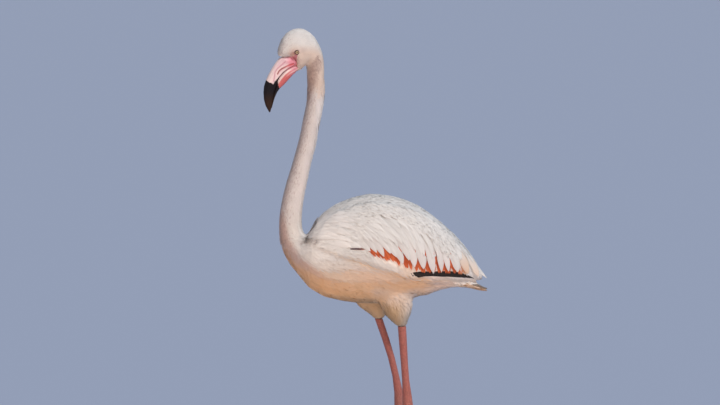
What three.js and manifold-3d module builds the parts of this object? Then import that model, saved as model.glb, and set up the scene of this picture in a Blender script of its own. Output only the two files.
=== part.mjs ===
// A greater flamingo, life size, standing on both feet with its neck raised and its bill turned down.
//
// Frame: millimetres, +Z up. The bird faces -X and its left side is -Y. The feet stand on Z = 0.
// Neck, trunk, head and bill are lofted through ribs. A rib is an oval that spans from a point on the upper
// outline to a point on the lower outline, with a half width. Each long loft is parted between ribs by a
// thin gap, so that every length a person would name is a solid of its own.

import * as THREE from "three";
import { mergeVertices } from "three/addons/utils/BufferGeometryUtils.js";
import Module from "manifold-3d";

const wasm = await Module();
wasm.setup();

// ---------------------------------------------------------------- driving sizes

const GAP = 0.3; // left between neighbouring pieces
const SEAM = 0.008; // gap between two lengths of one loft, as a share of the step from rib to rib

const HEAD_TURN = THREE.MathUtils.degToRad(25); // towards the bird's left
const NECK_TOP_X = -192.6; // axis of the neck under the head
const HEAD_AHEAD = 53; // the head's outlines start this far in front of that axis
const HEAD_HEIGHT = 1128;
const EYE_AHEAD = 2.2; // an eyeball's centre from the start of the head's outlines
const EYE_UP = -2.8;
const EYE_SIDE = 18.1;
const EYE_RADIUS = 6;

const WING_PROUD = 3; // a folded wing stands out from the flank by this much
const WING_CORE = 0.82; // share of the trunk's width that lies under the folded wings
const WING_EDGES = 23; // straight stretches round a wing's outline
// Shares of a rib by which each mandible's ovals reach into the other's, so that they meet at the sides.
const UPPER_BILL_LAP = 0.12;
const LOWER_BILL_LAP = 0.4;

const TOES = [
  { name: "inner", length: 64, spread: -28 },
  { name: "middle", length: 80, spread: 0 },
  { name: "outer", length: 73, spread: 27 },
];
const FOOT_TURN_OUT = 4; // degrees
const CLAW_LENGTH = 9;
const WEB_REACH = 0.86; // share of a toe's length that the web runs along
const WEB_SAG = 0.8; // the web's free edge dips to this share of the reach
const WEB_BOTTOM = 1.2;
const WEB_THICKNESS = 1.8;

// ---------------------------------------------------------------- materials

const finish = (color, roughness) => new THREE.MeshStandardMaterial({ color, roughness, metalness: 0 });
const plumage = finish(0xe4dcd6, 0.85);
const wingPlumage = finish(0xf0e6e0, 0.8);
const legSkin = finish(0xb5675a, 0.55);
const billPink = finish(0xdf9fa4, 0.4);
const billRed = finish(0xd98a8c, 0.4);
const eyeball = finish(0xe6d39a, 0.1);
const clawHorn = finish(0x4a4240, 0.45);

// ---------------------------------------------------------------- outlines of neck, trunk, wing and tail

// Ribs from the top of the neck to the wing tips: [upper x, upper z, lower x, lower z, half width].
const BODY_RIBS = [
  [-171.6, 1061.3, -212.6, 1061.3, 20.3],
  [-170.7, 1038, -211.6, 1037, 20],
  [-173.4, 1010, -213.4, 1007, 19.8],
  [-178.4, 983, -219.6, 978.5, 20],
  [-186, 946, -226.7, 940.5, 20.2],
  [-193.3, 909.5, -236.3, 902.5, 20.4],
  [-203.2, 872.5, -247.6, 863.5, 20.6],
  [-211.2, 836, -259.3, 826.5, 21],
  [-219.2, 799, -268.6, 790, 21.8],
  [-224.8, 762, -275, 754, 22.8],
  [-226, 734.5, -276.8, 725.5, 24],
  [-224.7, 718.5, -276, 705, 26],
  [-221, 708, -274, 684, 31],
  [-216, 703, -266, 660, 40],
  [-209.3, 706, -253, 637, 51],
  [-201.7, 720, -233.4, 613, 63],
  [-191, 741.5, -209, 583, 74],
  [-171.3, 761, -175, 562, 82],
  [-142.6, 778.5, -133.5, 552, 87],
  [-106, 792.5, -96.5, 547, 90],
  [-66.7, 800.5, -60, 546, 90.5],
  [-27.6, 797, -23, 547.5, 89],
  [9.2, 788, 11.5, 553.5, 85],
  [41.4, 774, 41.4, 561.5, 79],
  [71.3, 754, 69, 570, 71],
  [99, 731, 94.3, 578.5, 61],
  [124.2, 707, 119.6, 585, 50],
  [147.2, 679.5, 140.3, 591, 39],
  [165.6, 654, 158.7, 595.5, 28],
  [180.5, 630, 174.8, 599, 18],
  [192, 608, 188.6, 600.5, 8],
];
const NECK_LENGTHS = { neck_upper: [0, 4], neck_middle: [4, 8], neck_lower: [8, 13] };
const TRUNK_RIBS = [13, 30];

// Side view of a folded wing, as [x, z]: over the back from the wrist to the wing tip, then along the lower
// edge.
const WING_OUTLINE = [
  [-188, 686], [-184, 721], [-163, 751], [-124, 771], [-73, 783], [-18, 780], [32, 767], [76, 743],
  [113, 713], [145, 676], [170, 643], [194, 605], [161, 598], [92, 599], [41, 607], [-5, 623],
  [-46, 641], [-92, 656], [-142, 668],
];

const TAIL_RIBS = [
  [57.5, 610.5, 57.5, 563.5, 45],
  [92, 602.5, 92, 578, 40],
  [126.5, 598, 126.5, 586.5, 34],
  [156.5, 597, 156.5, 584.5, 28],
  [179.5, 591.5, 179.5, 577.5, 20],
  [199, 580.5, 199, 574.5, 9],
];

// ---------------------------------------------------------------- outlines of head and bill

// In the head's own plane: x forwards and z upwards from a point just behind and above the eyes.
const HEAD_RIBS = [
  [40.3, -3, 36.8, -13, 6],
  [37.8, 9, 31.8, -14, 13],
  [29.8, 28, 21.8, -15, 19],
  [16.8, 42.5, 11.8, -15.5, 22.5],
  [2.8, 49.8, 2.3, -19, 24],
  [-10.2, 52, -2.2, -43, 24.5],
  [-24.2, 50, -11.2, -43, 25],
  [-37.2, 43, -20.2, -38, 24.5],
  [-49.2, 32, -27.2, -32, 23.5],
  [-59.6, 15.5, -30.7, -34, 22],
  [-67.8, -4, -32.2, -41, 20.8],
  [-71.4, -24, -32.8, -48, 20.2],
  [-72.8, -44, -33, -57, 20],
  [-73, -66, -33, -66, 20],
];

const UPPER_BILL_RIBS = [
  [12, -8, -5, -31, 12],
  [36.5, -15, 1, -35, 13],
  [47, -27.2, 13.6, -41, 12.7],
  [56, -40.2, 26, -49.5, 12.2],
  [63.8, -53.2, 35.5, -59.5, 11.6],
  [70, -66.3, 42.5, -69, 11],
  [74.5, -79, 47.5, -79, 10.2],
  [76, -92.7, 51.8, -91, 9],
  [75, -108.8, 55, -106, 7],
  [71.2, -122.6, 57, -119.6, 5],
  [65.3, -133, 58.5, -130, 3],
  [61.5, -139, 59.5, -136.5, 1.2],
];

const LOWER_BILL_RIBS = [
  [-14, -31, -18, -41.5, 11],
  [0.5, -36, -4, -46.5, 12.5],
  [13, -42, 10, -58.5, 13],
  [25.4, -50.5, 20, -69.5, 12.8],
  [34.8, -60.5, 29, -78, 12],
  [41.8, -70, 37.5, -85, 10.8],
  [46.8, -80, 44, -93.5, 9.3],
  [51, -92, 49.5, -105, 7.2],
  [54.2, -107, 53.3, -116.5, 5],
  [56.4, -120, 56, -127, 3.2],
  [58.5, -129.5, 58, -131.5, 1.2],
];

// ---------------------------------------------------------------- lines of the legs

// Rings are [x, y, z, half depth fore and aft, half width]. A thigh runs from the flank to its feathers' hem.
const THIGHS = {
  left: [
    [-14, -36, 608, 36, 22],
    [-11, -36, 572, 44, 25],
    [-8, -38, 545, 38, 23.5],
    [-4.5, -39.5, 524, 28, 20.5],
    [0, -40.5, 509.5, 16.5, 15],
    [5, -40, 499, 10.2, 10.2],
  ],
  right: [
    [-66, 36, 602, 36, 22],
    [-68, 37, 562, 46, 25],
    [-62, 39, 538, 37, 23.5],
    [-53, 40, 524, 27, 20.5],
    [-49, 40.5, 513, 15.5, 14.5],
    [-48, 40, 505, 10, 10],
  ],
};

// From the hem over the hock to the toes' joint.
const LEGS = {
  left: [
    [5, -40, 498.7, 9.8, 9.4],
    [8, -38, 455, 9.2, 8.7],
    [11, -36, 412, 8.5, 7.9],
    [14, -34, 372, 8.5, 7.9],
    [17.5, -31.8, 335, 10.8, 9.6],
    [19.5, -30.5, 306, 13, 11.2],
    [17, -31, 280, 10.6, 9.3],
    [11, -32, 248, 6.8, 6.2],
    [3.5, -34.5, 195, 5.6, 5.1],
    [-4, -37.5, 135, 5.5, 5],
    [-10.5, -40, 80, 5.8, 5.2],
    [-15, -42, 38, 7, 6.6],
    [-18, -43, 12, 8.2, 8.2],
  ],
  right: [
    [-48, 40, 504.7, 9.4, 9.2],
    [-32.5, 38, 460, 8.8, 8.4],
    [-18, 36, 413, 8.2, 7.8],
    [-7.5, 34, 369, 8.2, 7.8],
    [-1, 31.8, 331, 10.5, 9.5],
    [1.5, 30.5, 300, 12.8, 11.2],
    [-3.5, 31, 275, 10.5, 9.3],
    [-10.5, 32, 244, 6.7, 6.2],
    [-22, 34.5, 192, 5.6, 5.1],
    [-34, 37.5, 133, 5.5, 5],
    [-45, 40, 79, 5.8, 5.2],
    [-53, 42, 38, 7, 6.6],
    [-57.5, 43, 12, 8.2, 8.2],
  ],
};
const LEG_LENGTHS = { tibia: [0, 4], hock: [4, 7], tarsus: [7, 11] };
const ANKLE = [11, 12]; // the last stretch is part of the foot

// A toe's ribs along its length: [share of the length, upper z, half width]. Its sole lies under the floor's
// level and is cut flat.
const TOE_RIBS = [
  [-0.05, 15, 7.4],
  [0.2, 10.5, 5.2],
  [0.45, 8.6, 5],
  [0.72, 7.2, 4.4],
  [1, 5.4, 3],
];
const SOLE_DEPTH = -2.4;
// The hind toe is short and held up: [x behind the ankle, upper z, lower z, half width].
const HIND_TOE_RIBS = [
  [2, 20, 9, 4],
  [9, 15.5, 7, 3.6],
  [16, 10.5, 4, 2.6],
];
const HIND_CLAW_LENGTH = 4;

// ---------------------------------------------------------------- lofts

// A smooth curve through rows of numbers, read at a row number that may lie between two rows.
function alongRows(rows, place) {
  const i = Math.min(Math.floor(place), rows.length - 2);
  const f = place - i;
  return rows[0].map((_, column) => {
    const start = rows[i][column];
    const end = rows[i + 1][column];
    const slopeA = (end - rows[Math.max(i - 1, 0)][column]) / 2;
    const slopeB = (rows[Math.min(i + 2, rows.length - 1)][column] - start) / 2;
    const bend = slopeA + slopeB - 2 * (end - start);
    return start + f * (slopeA + f * (3 * (end - start) - 2 * slopeA - slopeB + f * bend));
  });
}

// A closed geometry through rings of points, with a fan over each end.
function closeRings(rings) {
  const around = rings[0].length;
  const middleOf = (ring) => ring.reduce((sum, p) => sum.add(p), new THREE.Vector3()).divideScalar(around);
  const caps = [middleOf(rings[0]), middleOf(rings[rings.length - 1])];
  const index = [];
  for (let r = 0; r < rings.length - 1; r += 1) {
    for (let k = 0; k < around; k += 1) {
      const a = r * around + k;
      const b = r * around + ((k + 1) % around);
      index.push(a, a + around, b, b, a + around, b + around);
    }
  }
  const firstCap = rings.length * around;
  const lastRing = firstCap - around;
  for (let k = 0; k < around; k += 1) {
    const next = (k + 1) % around;
    index.push(firstCap, k, next);
    index.push(firstCap + 1, lastRing + next, lastRing + k);
  }
  const geometry = new THREE.BufferGeometry().setFromPoints([...rings.flat(), ...caps]);
  geometry.setIndex(index);
  return geometry;
}

// A geometry as a solid that can be joined and cut. A loft that winds inwards is turned outwards.
function solidOf(geometry) {
  geometry.deleteAttribute("normal");
  geometry.deleteAttribute("uv");
  const merged = mergeVertices(geometry, 1e-3);
  const corners = merged.index.array;
  const build = (triVerts) => new wasm.Manifold(
    new wasm.Mesh({ numProp: 3, vertProperties: merged.attributes.position.array, triVerts }),
  );
  const solid = build(Uint32Array.from(corners));
  if (solid.volume() > 0) return solid;
  return build(Uint32Array.from(corners).reverse());
}

// A loft through ribs. egg above 0 makes the ovals narrower on their upper side.
function ribLoft(rows, options = {}) {
  const { span = [0, rows.length - 1], perRib = 2, around = 24 } = options;
  const { grow = 0, share = 1, egg = 0, place = (p) => p } = options;
  const steps = Math.ceil((span[1] - span[0]) * perRib);
  const rings = [];
  for (let s = 0; s <= steps; s += 1) {
    const rib = alongRows(rows, span[0] + ((span[1] - span[0]) * s) / steps);
    const upper = new THREE.Vector3(rib[0], 0, rib[1]);
    const lower = new THREE.Vector3(rib[2], 0, rib[3]);
    const centre = upper.clone().add(lower).multiplyScalar(0.5);
    const up = upper.sub(centre);
    up.setLength(up.length() + grow);
    const ring = [];
    for (let k = 0; k < around; k += 1) {
      const angle = (2 * Math.PI * k) / around;
      const width = (rib[4] * share + grow) * (1 - egg * Math.cos(angle));
      const point = centre.clone().addScaledVector(up, Math.cos(angle));
      point.y -= width * Math.sin(angle);
      ring.push(place(point));
    }
    rings.push(ring);
  }
  return solidOf(closeRings(rings));
}

// A limb through level rings.
function limbLoft(rows, { span = [0, rows.length - 1], perRib = 1, around = 14 } = {}) {
  const steps = Math.ceil((span[1] - span[0]) * perRib);
  const rings = [];
  for (let s = 0; s <= steps; s += 1) {
    const [x, y, z, depth, width] = alongRows(rows, span[0] + ((span[1] - span[0]) * s) / steps);
    const ring = [];
    for (let k = 0; k < around; k += 1) {
      const angle = (2 * Math.PI * k) / around;
      ring.push(new THREE.Vector3(x + depth * Math.cos(angle), y + width * Math.sin(angle), z));
    }
    rings.push(ring);
  }
  return solidOf(closeRings(rings));
}

// The span of one length of a loft, kept short of its neighbours by half a seam at each end.
const partedSpan = ([from, to]) => [from + SEAM / 2, to - SEAM / 2];

// ---------------------------------------------------------------- the bird

const bird = new THREE.Group();

function addPiece(name, solid, material) {
  const bodies = solid.decompose();
  const body = bodies.reduce((best, other) => (other.volume() > best.volume() ? other : best));
  const { vertProperties, triVerts } = body.getMesh();
  const geometry = new THREE.BufferGeometry();
  geometry.setAttribute("position", new THREE.BufferAttribute(vertProperties, 3));
  geometry.setIndex(new THREE.BufferAttribute(triVerts, 1));
  geometry.computeVertexNormals();
  const mesh = new THREE.Mesh(geometry, material);
  mesh.name = name;
  bird.add(mesh);
}

// Sides of the bird: the left is -Y.
const SIDES = [
  { side: "left", out: -1 },
  { side: "right", out: 1 },
];

// ---------------------------------------------------------------- neck, trunk, wings and tail

function addNeck() {
  for (const [name, ribs] of Object.entries(NECK_LENGTHS)) {
    addPiece(name, ribLoft(BODY_RIBS, { span: partedSpan(ribs), around: 18 }), plumage);
  }
}

const TRUNK_SHAPE = { span: partedSpan(TRUNK_RIBS), around: 24, perRib: 1, egg: 0.06 };

// A wing's side outline, spread across one half of the bird. border widens it on every side.
function wingPlate(out, border) {
  const points = WING_OUTLINE.map(([x, z]) => new THREE.Vector3(x, z, 0));
  const edge = new THREE.CatmullRomCurve3(points, true).getPoints(WING_EDGES);
  const shape = new THREE.Shape(edge.slice(0, -1));
  const depth = 200;
  const bevel = { bevelEnabled: border > 0, bevelSize: border, bevelThickness: border, bevelSegments: 1 };
  const plate = new THREE.ExtrudeGeometry(shape, { depth, curveSegments: 1, ...bevel });
  plate.rotateX(Math.PI / 2);
  plate.translate(0, out < 0 ? 0 : depth, 0);
  return solidOf(plate);
}

function addTrunkWingsAndTail() {
  const tail = ribLoft(TAIL_RIBS, { around: 14, perRib: 1 });
  const tailRoom = ribLoft(TAIL_RIBS, { around: 14, perRib: 1, grow: GAP });
  const proud = ribLoft(BODY_RIBS, { ...TRUNK_SHAPE, grow: WING_PROUD });
  const core = ribLoft(BODY_RIBS, { ...TRUNK_SHAPE, share: WING_CORE });
  const innerCore = ribLoft(BODY_RIBS, { ...TRUNK_SHAPE, share: WING_CORE, grow: -GAP });
  let trunk = ribLoft(BODY_RIBS, TRUNK_SHAPE).subtract(tailRoom);
  for (const { side, out } of SIDES) {
    const wing = proud.intersect(wingPlate(out, 0)).subtract(core).subtract(tailRoom);
    addPiece(`wing_${side}`, wing, wingPlumage);
    trunk = trunk.subtract(wingPlate(out, GAP).subtract(innerCore));
  }
  addPiece("trunk", trunk, plumage);
  addPiece("tail", tail, plumage);
}

// ---------------------------------------------------------------- head, bill and eyes

// From the head's own plane to the bird, turned about the neck's axis.
function fromHead(p) {
  const forward = p.x + HEAD_AHEAD;
  return new THREE.Vector3(
    NECK_TOP_X - forward * Math.cos(HEAD_TURN) - p.y * Math.sin(HEAD_TURN),
    -forward * Math.sin(HEAD_TURN) + p.y * Math.cos(HEAD_TURN),
    HEAD_HEIGHT + p.z,
  );
}

function eyeBall(out, radius) {
  const centre = fromHead(new THREE.Vector3(EYE_AHEAD, out * EYE_SIDE, EYE_UP));
  const ball = new THREE.SphereGeometry(radius, 10, 6);
  ball.translate(centre.x, centre.y, centre.z);
  return solidOf(ball);
}

// Ribs whose upper or lower ends run on past their own outline, by shares of a rib.
function lapped(rows, upperLap, lowerLap) {
  return rows.map(([upperX, upperZ, lowerX, lowerZ, width]) => {
    const alongX = lowerX - upperX;
    const alongZ = lowerZ - upperZ;
    return [
      upperX - alongX * upperLap, upperZ - alongZ * upperLap,
      lowerX + alongX * lowerLap, lowerZ + alongZ * lowerLap, width,
    ];
  });
}

function addHead() {
  const headShape = { around: 18, perRib: 1, egg: 0.05, place: fromHead };
  const billShape = { around: 14, perRib: 1, place: fromHead };
  const upperRibs = lapped(UPPER_BILL_RIBS, 0, UPPER_BILL_LAP);
  const lowerRibs = lapped(LOWER_BILL_RIBS, LOWER_BILL_LAP, 0);
  const upperBill = ribLoft(upperRibs, billShape);
  const lowerBill = ribLoft(lowerRibs, billShape);
  const upperRoom = ribLoft(upperRibs, { ...billShape, grow: GAP });
  const lowerRoom = ribLoft(lowerRibs, { ...billShape, grow: GAP });
  let head = ribLoft(HEAD_RIBS, headShape).subtract(upperRoom).subtract(lowerRoom);
  for (const { side, out } of SIDES) {
    head = head.subtract(eyeBall(out, EYE_RADIUS + GAP));
    addPiece(`eye_${side}`, eyeBall(out, EYE_RADIUS), eyeball);
  }
  addPiece("head", head, plumage);
  addPiece("bill_upper", upperBill, billPink);
  addPiece("bill_lower", lowerBill.subtract(upperRoom), billRed);
}

// ---------------------------------------------------------------- legs and feet

function addLeg(side) {
  const bodyRoom = ribLoft(BODY_RIBS, { ...TRUNK_SHAPE, grow: GAP });
  addPiece(`thigh_${side}`, limbLoft(THIGHS[side], { around: 16, perRib: 2 }).subtract(bodyRoom), plumage);
  for (const [name, ribs] of Object.entries(LEG_LENGTHS)) {
    addPiece(`${name}_${side}`, limbLoft(LEGS[side], { span: partedSpan(ribs) }), legSkin);
  }
}

// Everything below the floor's level is cut away, which leaves flat soles.
function aboveFloor(solid) {
  const room = 2000;
  const floor = new THREE.BoxGeometry(room, room, room);
  floor.translate(0, 0, -room / 2);
  return solid.subtract(solidOf(floor));
}

// From the foot's own frame, with the ankle over its origin and the middle toe along -X, to the bird.
function footPlace(side, out, spread) {
  const [ankleX, ankleY] = LEGS[side][LEGS[side].length - 1];
  const turn = THREE.MathUtils.degToRad(out * (FOOT_TURN_OUT + spread));
  const ankle = new THREE.Vector3(ankleX, ankleY, 0);
  return (p) => p.clone().applyAxisAngle(new THREE.Vector3(0, 0, 1), -turn).add(ankle);
}

function webOf(side, out) {
  const place = footPlace(side, out, 0);
  const tips = TOES.map(({ length, spread }) => {
    const turn = THREE.MathUtils.degToRad(spread);
    return new THREE.Vector2(-Math.cos(turn), Math.sin(turn) * out).multiplyScalar(length * WEB_REACH);
  });
  const shape = new THREE.Shape();
  shape.moveTo(0, 0);
  shape.lineTo(tips[0].x, tips[0].y);
  for (const [from, to] of [[tips[0], tips[1]], [tips[1], tips[2]]]) {
    const dip = from.clone().add(to).multiplyScalar(0.5 * WEB_SAG);
    shape.quadraticCurveTo(dip.x, dip.y, to.x, to.y);
  }
  shape.closePath();
  const spread = { depth: WEB_THICKNESS, bevelEnabled: false, curveSegments: 3 };
  const web = new THREE.ExtrudeGeometry(shape, spread);
  web.translate(0, 0, WEB_BOTTOM);
  const position = web.attributes.position;
  for (let i = 0; i < position.count; i += 1) {
    const p = place(new THREE.Vector3().fromBufferAttribute(position, i));
    position.setXYZ(i, p.x, p.y, p.z);
  }
  return solidOf(web);
}

function clawOf(start, length, upper, lower, width, place) {
  const rows = [
    [-start, upper, -start, lower, width],
    [-start - length * 0.5, upper * 0.8, -start - length * 0.5, lower * 0.9, width * 0.7],
    [-start - length, lower + 0.8, -start - length, lower, 0.5],
  ];
  return ribLoft(rows, { around: 6, perRib: 1, place });
}

function addFoot(side, out) {
  let foot = limbLoft(LEGS[side], { span: partedSpan(ANKLE), around: 10 }).add(webOf(side, out));
  for (const { name, length, spread } of TOES) {
    const place = footPlace(side, out, spread);
    const rows = TOE_RIBS.map(([share, upper, width]) => [
      -share * length, upper, -share * length, SOLE_DEPTH, width,
    ]);
    foot = foot.add(ribLoft(rows, { around: 8, perRib: 1, place }));
    addPiece(`claw_${name}_${side}`, clawOf(length + GAP, CLAW_LENGTH, 4.8, 0.6, 2.6, place), clawHorn);
  }
  const hindPlace = footPlace(side, out, 0);
  const hindRows = HIND_TOE_RIBS.map(([x, upper, lower, width]) => [x, upper, x, lower, width]);
  foot = foot.add(ribLoft(hindRows, { around: 8, perRib: 1, place: hindPlace }));
  addPiece(`foot_${side}`, aboveFloor(foot), legSkin);
  const [hindEnd, upper, lower, width] = HIND_TOE_RIBS[HIND_TOE_RIBS.length - 1];
  const backwards = (p) => hindPlace(new THREE.Vector3(-p.x, p.y, p.z));
  const hindClaw = clawOf(hindEnd + GAP, HIND_CLAW_LENGTH, upper - 1, lower + 0.6, width - 0.6, backwards);
  addPiece(`claw_hind_${side}`, hindClaw, clawHorn);
}

// ---------------------------------------------------------------- the whole bird

addNeck();
addTrunkWingsAndTail();
addHead();
for (const { side, out } of SIDES) {
  addLeg(side);
  addFoot(side, out);
}

// The origin is under the middle of the bird, on the floor.
const bounds = new THREE.Box3().setFromObject(bird);
const middle = bounds.getCenter(new THREE.Vector3());
for (const mesh of bird.children) {
  mesh.geometry.translate(-middle.x, -middle.y, -bounds.min.z);
}

export default bird;
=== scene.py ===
# %% [markdown]
# # A greater flamingo, life size
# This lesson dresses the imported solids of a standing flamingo: one skin over all the flesh, a horn bill, wet
# eyes, scaled legs, and a plumage of some tens of thousands of small meshes. Every feather is built as an
# array of points with numpy and joined with its neighbours into a few large meshes, because separate objects
# would be slow and particle hair is lost when a model is exported.

# %% Load the frame
import math

import bmesh
import bpy
import numpy as np
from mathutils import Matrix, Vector
from mathutils.bvhtree import BVHTree


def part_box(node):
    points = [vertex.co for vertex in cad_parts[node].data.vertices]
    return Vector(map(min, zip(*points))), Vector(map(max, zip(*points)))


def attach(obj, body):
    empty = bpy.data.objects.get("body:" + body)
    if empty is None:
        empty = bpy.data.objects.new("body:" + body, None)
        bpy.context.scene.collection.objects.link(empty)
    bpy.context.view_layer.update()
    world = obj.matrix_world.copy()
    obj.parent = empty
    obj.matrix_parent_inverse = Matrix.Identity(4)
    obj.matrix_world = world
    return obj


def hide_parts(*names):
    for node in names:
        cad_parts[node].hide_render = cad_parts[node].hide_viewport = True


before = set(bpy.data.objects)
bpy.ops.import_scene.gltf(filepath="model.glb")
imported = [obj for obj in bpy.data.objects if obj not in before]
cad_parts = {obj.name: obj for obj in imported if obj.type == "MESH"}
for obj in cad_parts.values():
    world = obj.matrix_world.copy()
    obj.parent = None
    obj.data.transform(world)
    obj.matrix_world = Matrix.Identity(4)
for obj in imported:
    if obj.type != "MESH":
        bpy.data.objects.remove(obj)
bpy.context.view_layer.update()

MM = 0.001
SIDES = (("left", -1.0), ("right", 1.0))  # the bird faces -X, so its left side is -Y
PIECES = []  # every visual piece of the bird
print("solids:", len(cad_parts))

# %% [markdown]
# ## Small tools
# Points travel as numpy arrays of shape (n, 3). Three helpers come first: unit vectors, a soft step from 0
# to 1 and a blend of two values. Soft steps draw every edge of colour on this bird, because a hard edge
# between two colours of down never looks real.

# %% Array helpers
def unit(vectors):
    return vectors / np.maximum(np.linalg.norm(vectors, axis=-1, keepdims=True), 1e-9)


def smooth(value, low, high):
    share = np.clip((value - low) / (high - low), 0.0, 1.0)
    return share * share * (3.0 - 2.0 * share)


def mix(a, b, share):
    return a + (b - a) * share[..., None]


print("halfway along a soft step:", smooth(0.5, 0.0, 1.0))

# %% [markdown]
# ## From arrays to meshes
# The mesh maker takes whole arrays at once, which is far quicker than adding points one by one. It stores a
# colour at each vertex, so that skin and feathers can share one marking function and still have simple
# materials. Its partner reads a solid of the frame back into arrays.

# %% Mesh helpers
COLOUR_LAYER = "tint"


def make_mesh(name, verts, faces, tint=None, patch=None, normals=None):
    """A mesh object from arrays: a colour (tint), a UV place (patch) and a shading normal per vertex."""
    mesh = bpy.data.meshes.new(name)
    faces = np.asarray(faces, dtype=np.int32)
    corners = faces.shape[1]
    mesh.vertices.add(len(verts))
    mesh.vertices.foreach_set("co", np.asarray(verts, dtype=np.float32).ravel())
    mesh.loops.add(faces.size)
    mesh.loops.foreach_set("vertex_index", faces.ravel())
    mesh.polygons.add(len(faces))
    mesh.polygons.foreach_set("loop_start", np.arange(len(faces), dtype=np.int32) * corners)
    mesh.update(calc_edges=True)
    mesh.polygons.foreach_set("use_smooth", np.ones(len(faces), dtype=bool))
    if tint is not None:
        colour = np.ones((len(verts), 4), dtype=np.float32)
        colour[:, :3] = tint
        layer = mesh.color_attributes.new(COLOUR_LAYER, "FLOAT_COLOR", "POINT")
        layer.data.foreach_set("color", colour.ravel())
    if patch is not None:
        layer = mesh.uv_layers.new(name="OFBake")
        layer.data.foreach_set("uv", np.asarray(patch, dtype=np.float32)[faces.ravel()].ravel())
    if normals is not None:
        mesh.normals_split_custom_set_from_vertices(normals.tolist())
    piece = bpy.data.objects.new(name, mesh)
    bpy.context.scene.collection.objects.link(piece)
    return piece


def read_mesh(mesh):
    verts = np.empty(len(mesh.vertices) * 3, dtype=np.float32)
    mesh.vertices.foreach_get("co", verts)
    mesh.calc_loop_triangles()
    triangles = np.empty(len(mesh.loop_triangles) * 3, dtype=np.int32)
    mesh.loop_triangles.foreach_get("vertices", triangles)
    return verts.reshape(-1, 3).astype(float), triangles.reshape(-1, 3)


print("triangles of the trunk's solid:", len(read_mesh(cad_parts["trunk"].data)[1]))

# %% [markdown]
# ## Camera and the side view
# The camera stands five metres from the bird's left side, a little above it, as a visitor would. Outlines of
# markings are easiest to give as they look from there: a place in the side view is a point (x, z) in the
# upright plane through the bird's middle, and the line from the camera through that point meets the plumage
# at the spot that is meant. The far side of the bird is the mirror image.

# %% Camera
PICTURE_WIDTH = 720
PIXEL = 2.3 * MM  # what one pixel spans in the bird's middle plane
CAMERA_DISTANCE = 5.0
CAMERA_ELEVATION = math.radians(5.5)
SENSOR_WIDTH = 36.0
FAR_CLIP = 2000.0  # beyond the far edge of the floor
AIM = Vector((-0.0357, 0.0, 0.7796))
CAMERA_BACK = Vector((0.0, -math.cos(CAMERA_ELEVATION), math.sin(CAMERA_ELEVATION)))
VIEWPOINT = np.array(AIM + CAMERA_BACK * CAMERA_DISTANCE)


def build_camera():
    data = bpy.data.cameras.new("camera")
    data.sensor_width = SENSOR_WIDTH
    data.lens = data.sensor_width * CAMERA_DISTANCE / (PICTURE_WIDTH * PIXEL)
    data.clip_end = FAR_CLIP
    camera = bpy.data.objects.new("camera", data)
    camera.location = VIEWPOINT
    camera.rotation_euler = (-CAMERA_BACK).to_track_quat("-Z", "Y").to_euler()
    bpy.context.scene.collection.objects.link(camera)
    bpy.context.scene.camera = camera


def side_view(points):
    """Where points of the bird appear in its middle plane (x, z), both sides seen as the near one."""
    near = points * (1.0, 0.0, 1.0) + np.abs(points) * (0.0, -1.0, 0.0)
    reach = -VIEWPOINT[1] / (near[:, 1] - VIEWPOINT[1])
    return VIEWPOINT[[0, 2]] + (near[:, [0, 2]] - VIEWPOINT[[0, 2]]) * reach[:, None]


build_camera()
print("camera at", VIEWPOINT.round(3))

# %% [markdown]
# ## The head's own axes
# The head is turned a little to the bird's left, so its parts are easier to place in axes of its own. They
# come from the two eyes: the line through them points to the left, and the origin lies between them, a
# little behind and above.

# %% Head axes
def box_centre(node):
    low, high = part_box(node)
    return (np.array(low) + np.array(high)) / 2.0


EYES = {side: box_centre("eye_" + side) for side, _ in SIDES}
EYE_RADIUS = float(np.array(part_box("eye_left")[1])[2] - EYES["left"][2])
EYE_AHEAD, EYE_UP = 2.2, -2.8  # an eye's centre from the origin, in millimetres
HEAD_UP = np.array([0.0, 0.0, 1.0])
HEAD_LEFT = unit(EYES["left"] - EYES["right"])
HEAD_FORWARD = np.cross(HEAD_LEFT, HEAD_UP)
HEAD_ORIGIN = (EYES["left"] + EYES["right"]) / 2.0 - (EYE_AHEAD * HEAD_FORWARD + EYE_UP * HEAD_UP) * MM


def from_head(forward, left, up):
    """Head coordinates in millimetres to the bird's metres."""
    local = np.stack(np.broadcast_arrays(forward, left, up), axis=-1) * MM
    return HEAD_ORIGIN + local @ np.stack([HEAD_FORWARD, HEAD_LEFT, HEAD_UP])


def to_head(points):
    """The bird's metres to head coordinates in millimetres: forward, left, up."""
    return (points - HEAD_ORIGIN) @ np.stack([HEAD_FORWARD, HEAD_LEFT, HEAD_UP]).T / MM


# The head's markings are given in its side view: forwards and upwards in millimetres.
HEAD_TURN_COS = float(HEAD_FORWARD @ np.array([-1.0, 0.0, 0.0]))
PLANE_START = np.array([-0.1878, 1.128])  # where the head's own plane starts in the side view


def head_view(points):
    """Side-view coordinates on head and bill, both sides seen as the near one."""
    local = to_head(points)
    near = from_head(local[:, 0], np.abs(local[:, 1]), local[:, 2])
    place = side_view(near)
    ahead = (PLANE_START[0] - place[:, 0]) / HEAD_TURN_COS
    return np.stack([ahead, place[:, 1] - PLANE_START[1]], axis=1) / MM


print("eye radius mm:", round(EYE_RADIUS / MM, 2), "head origin:", HEAD_ORIGIN.round(4))
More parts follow.
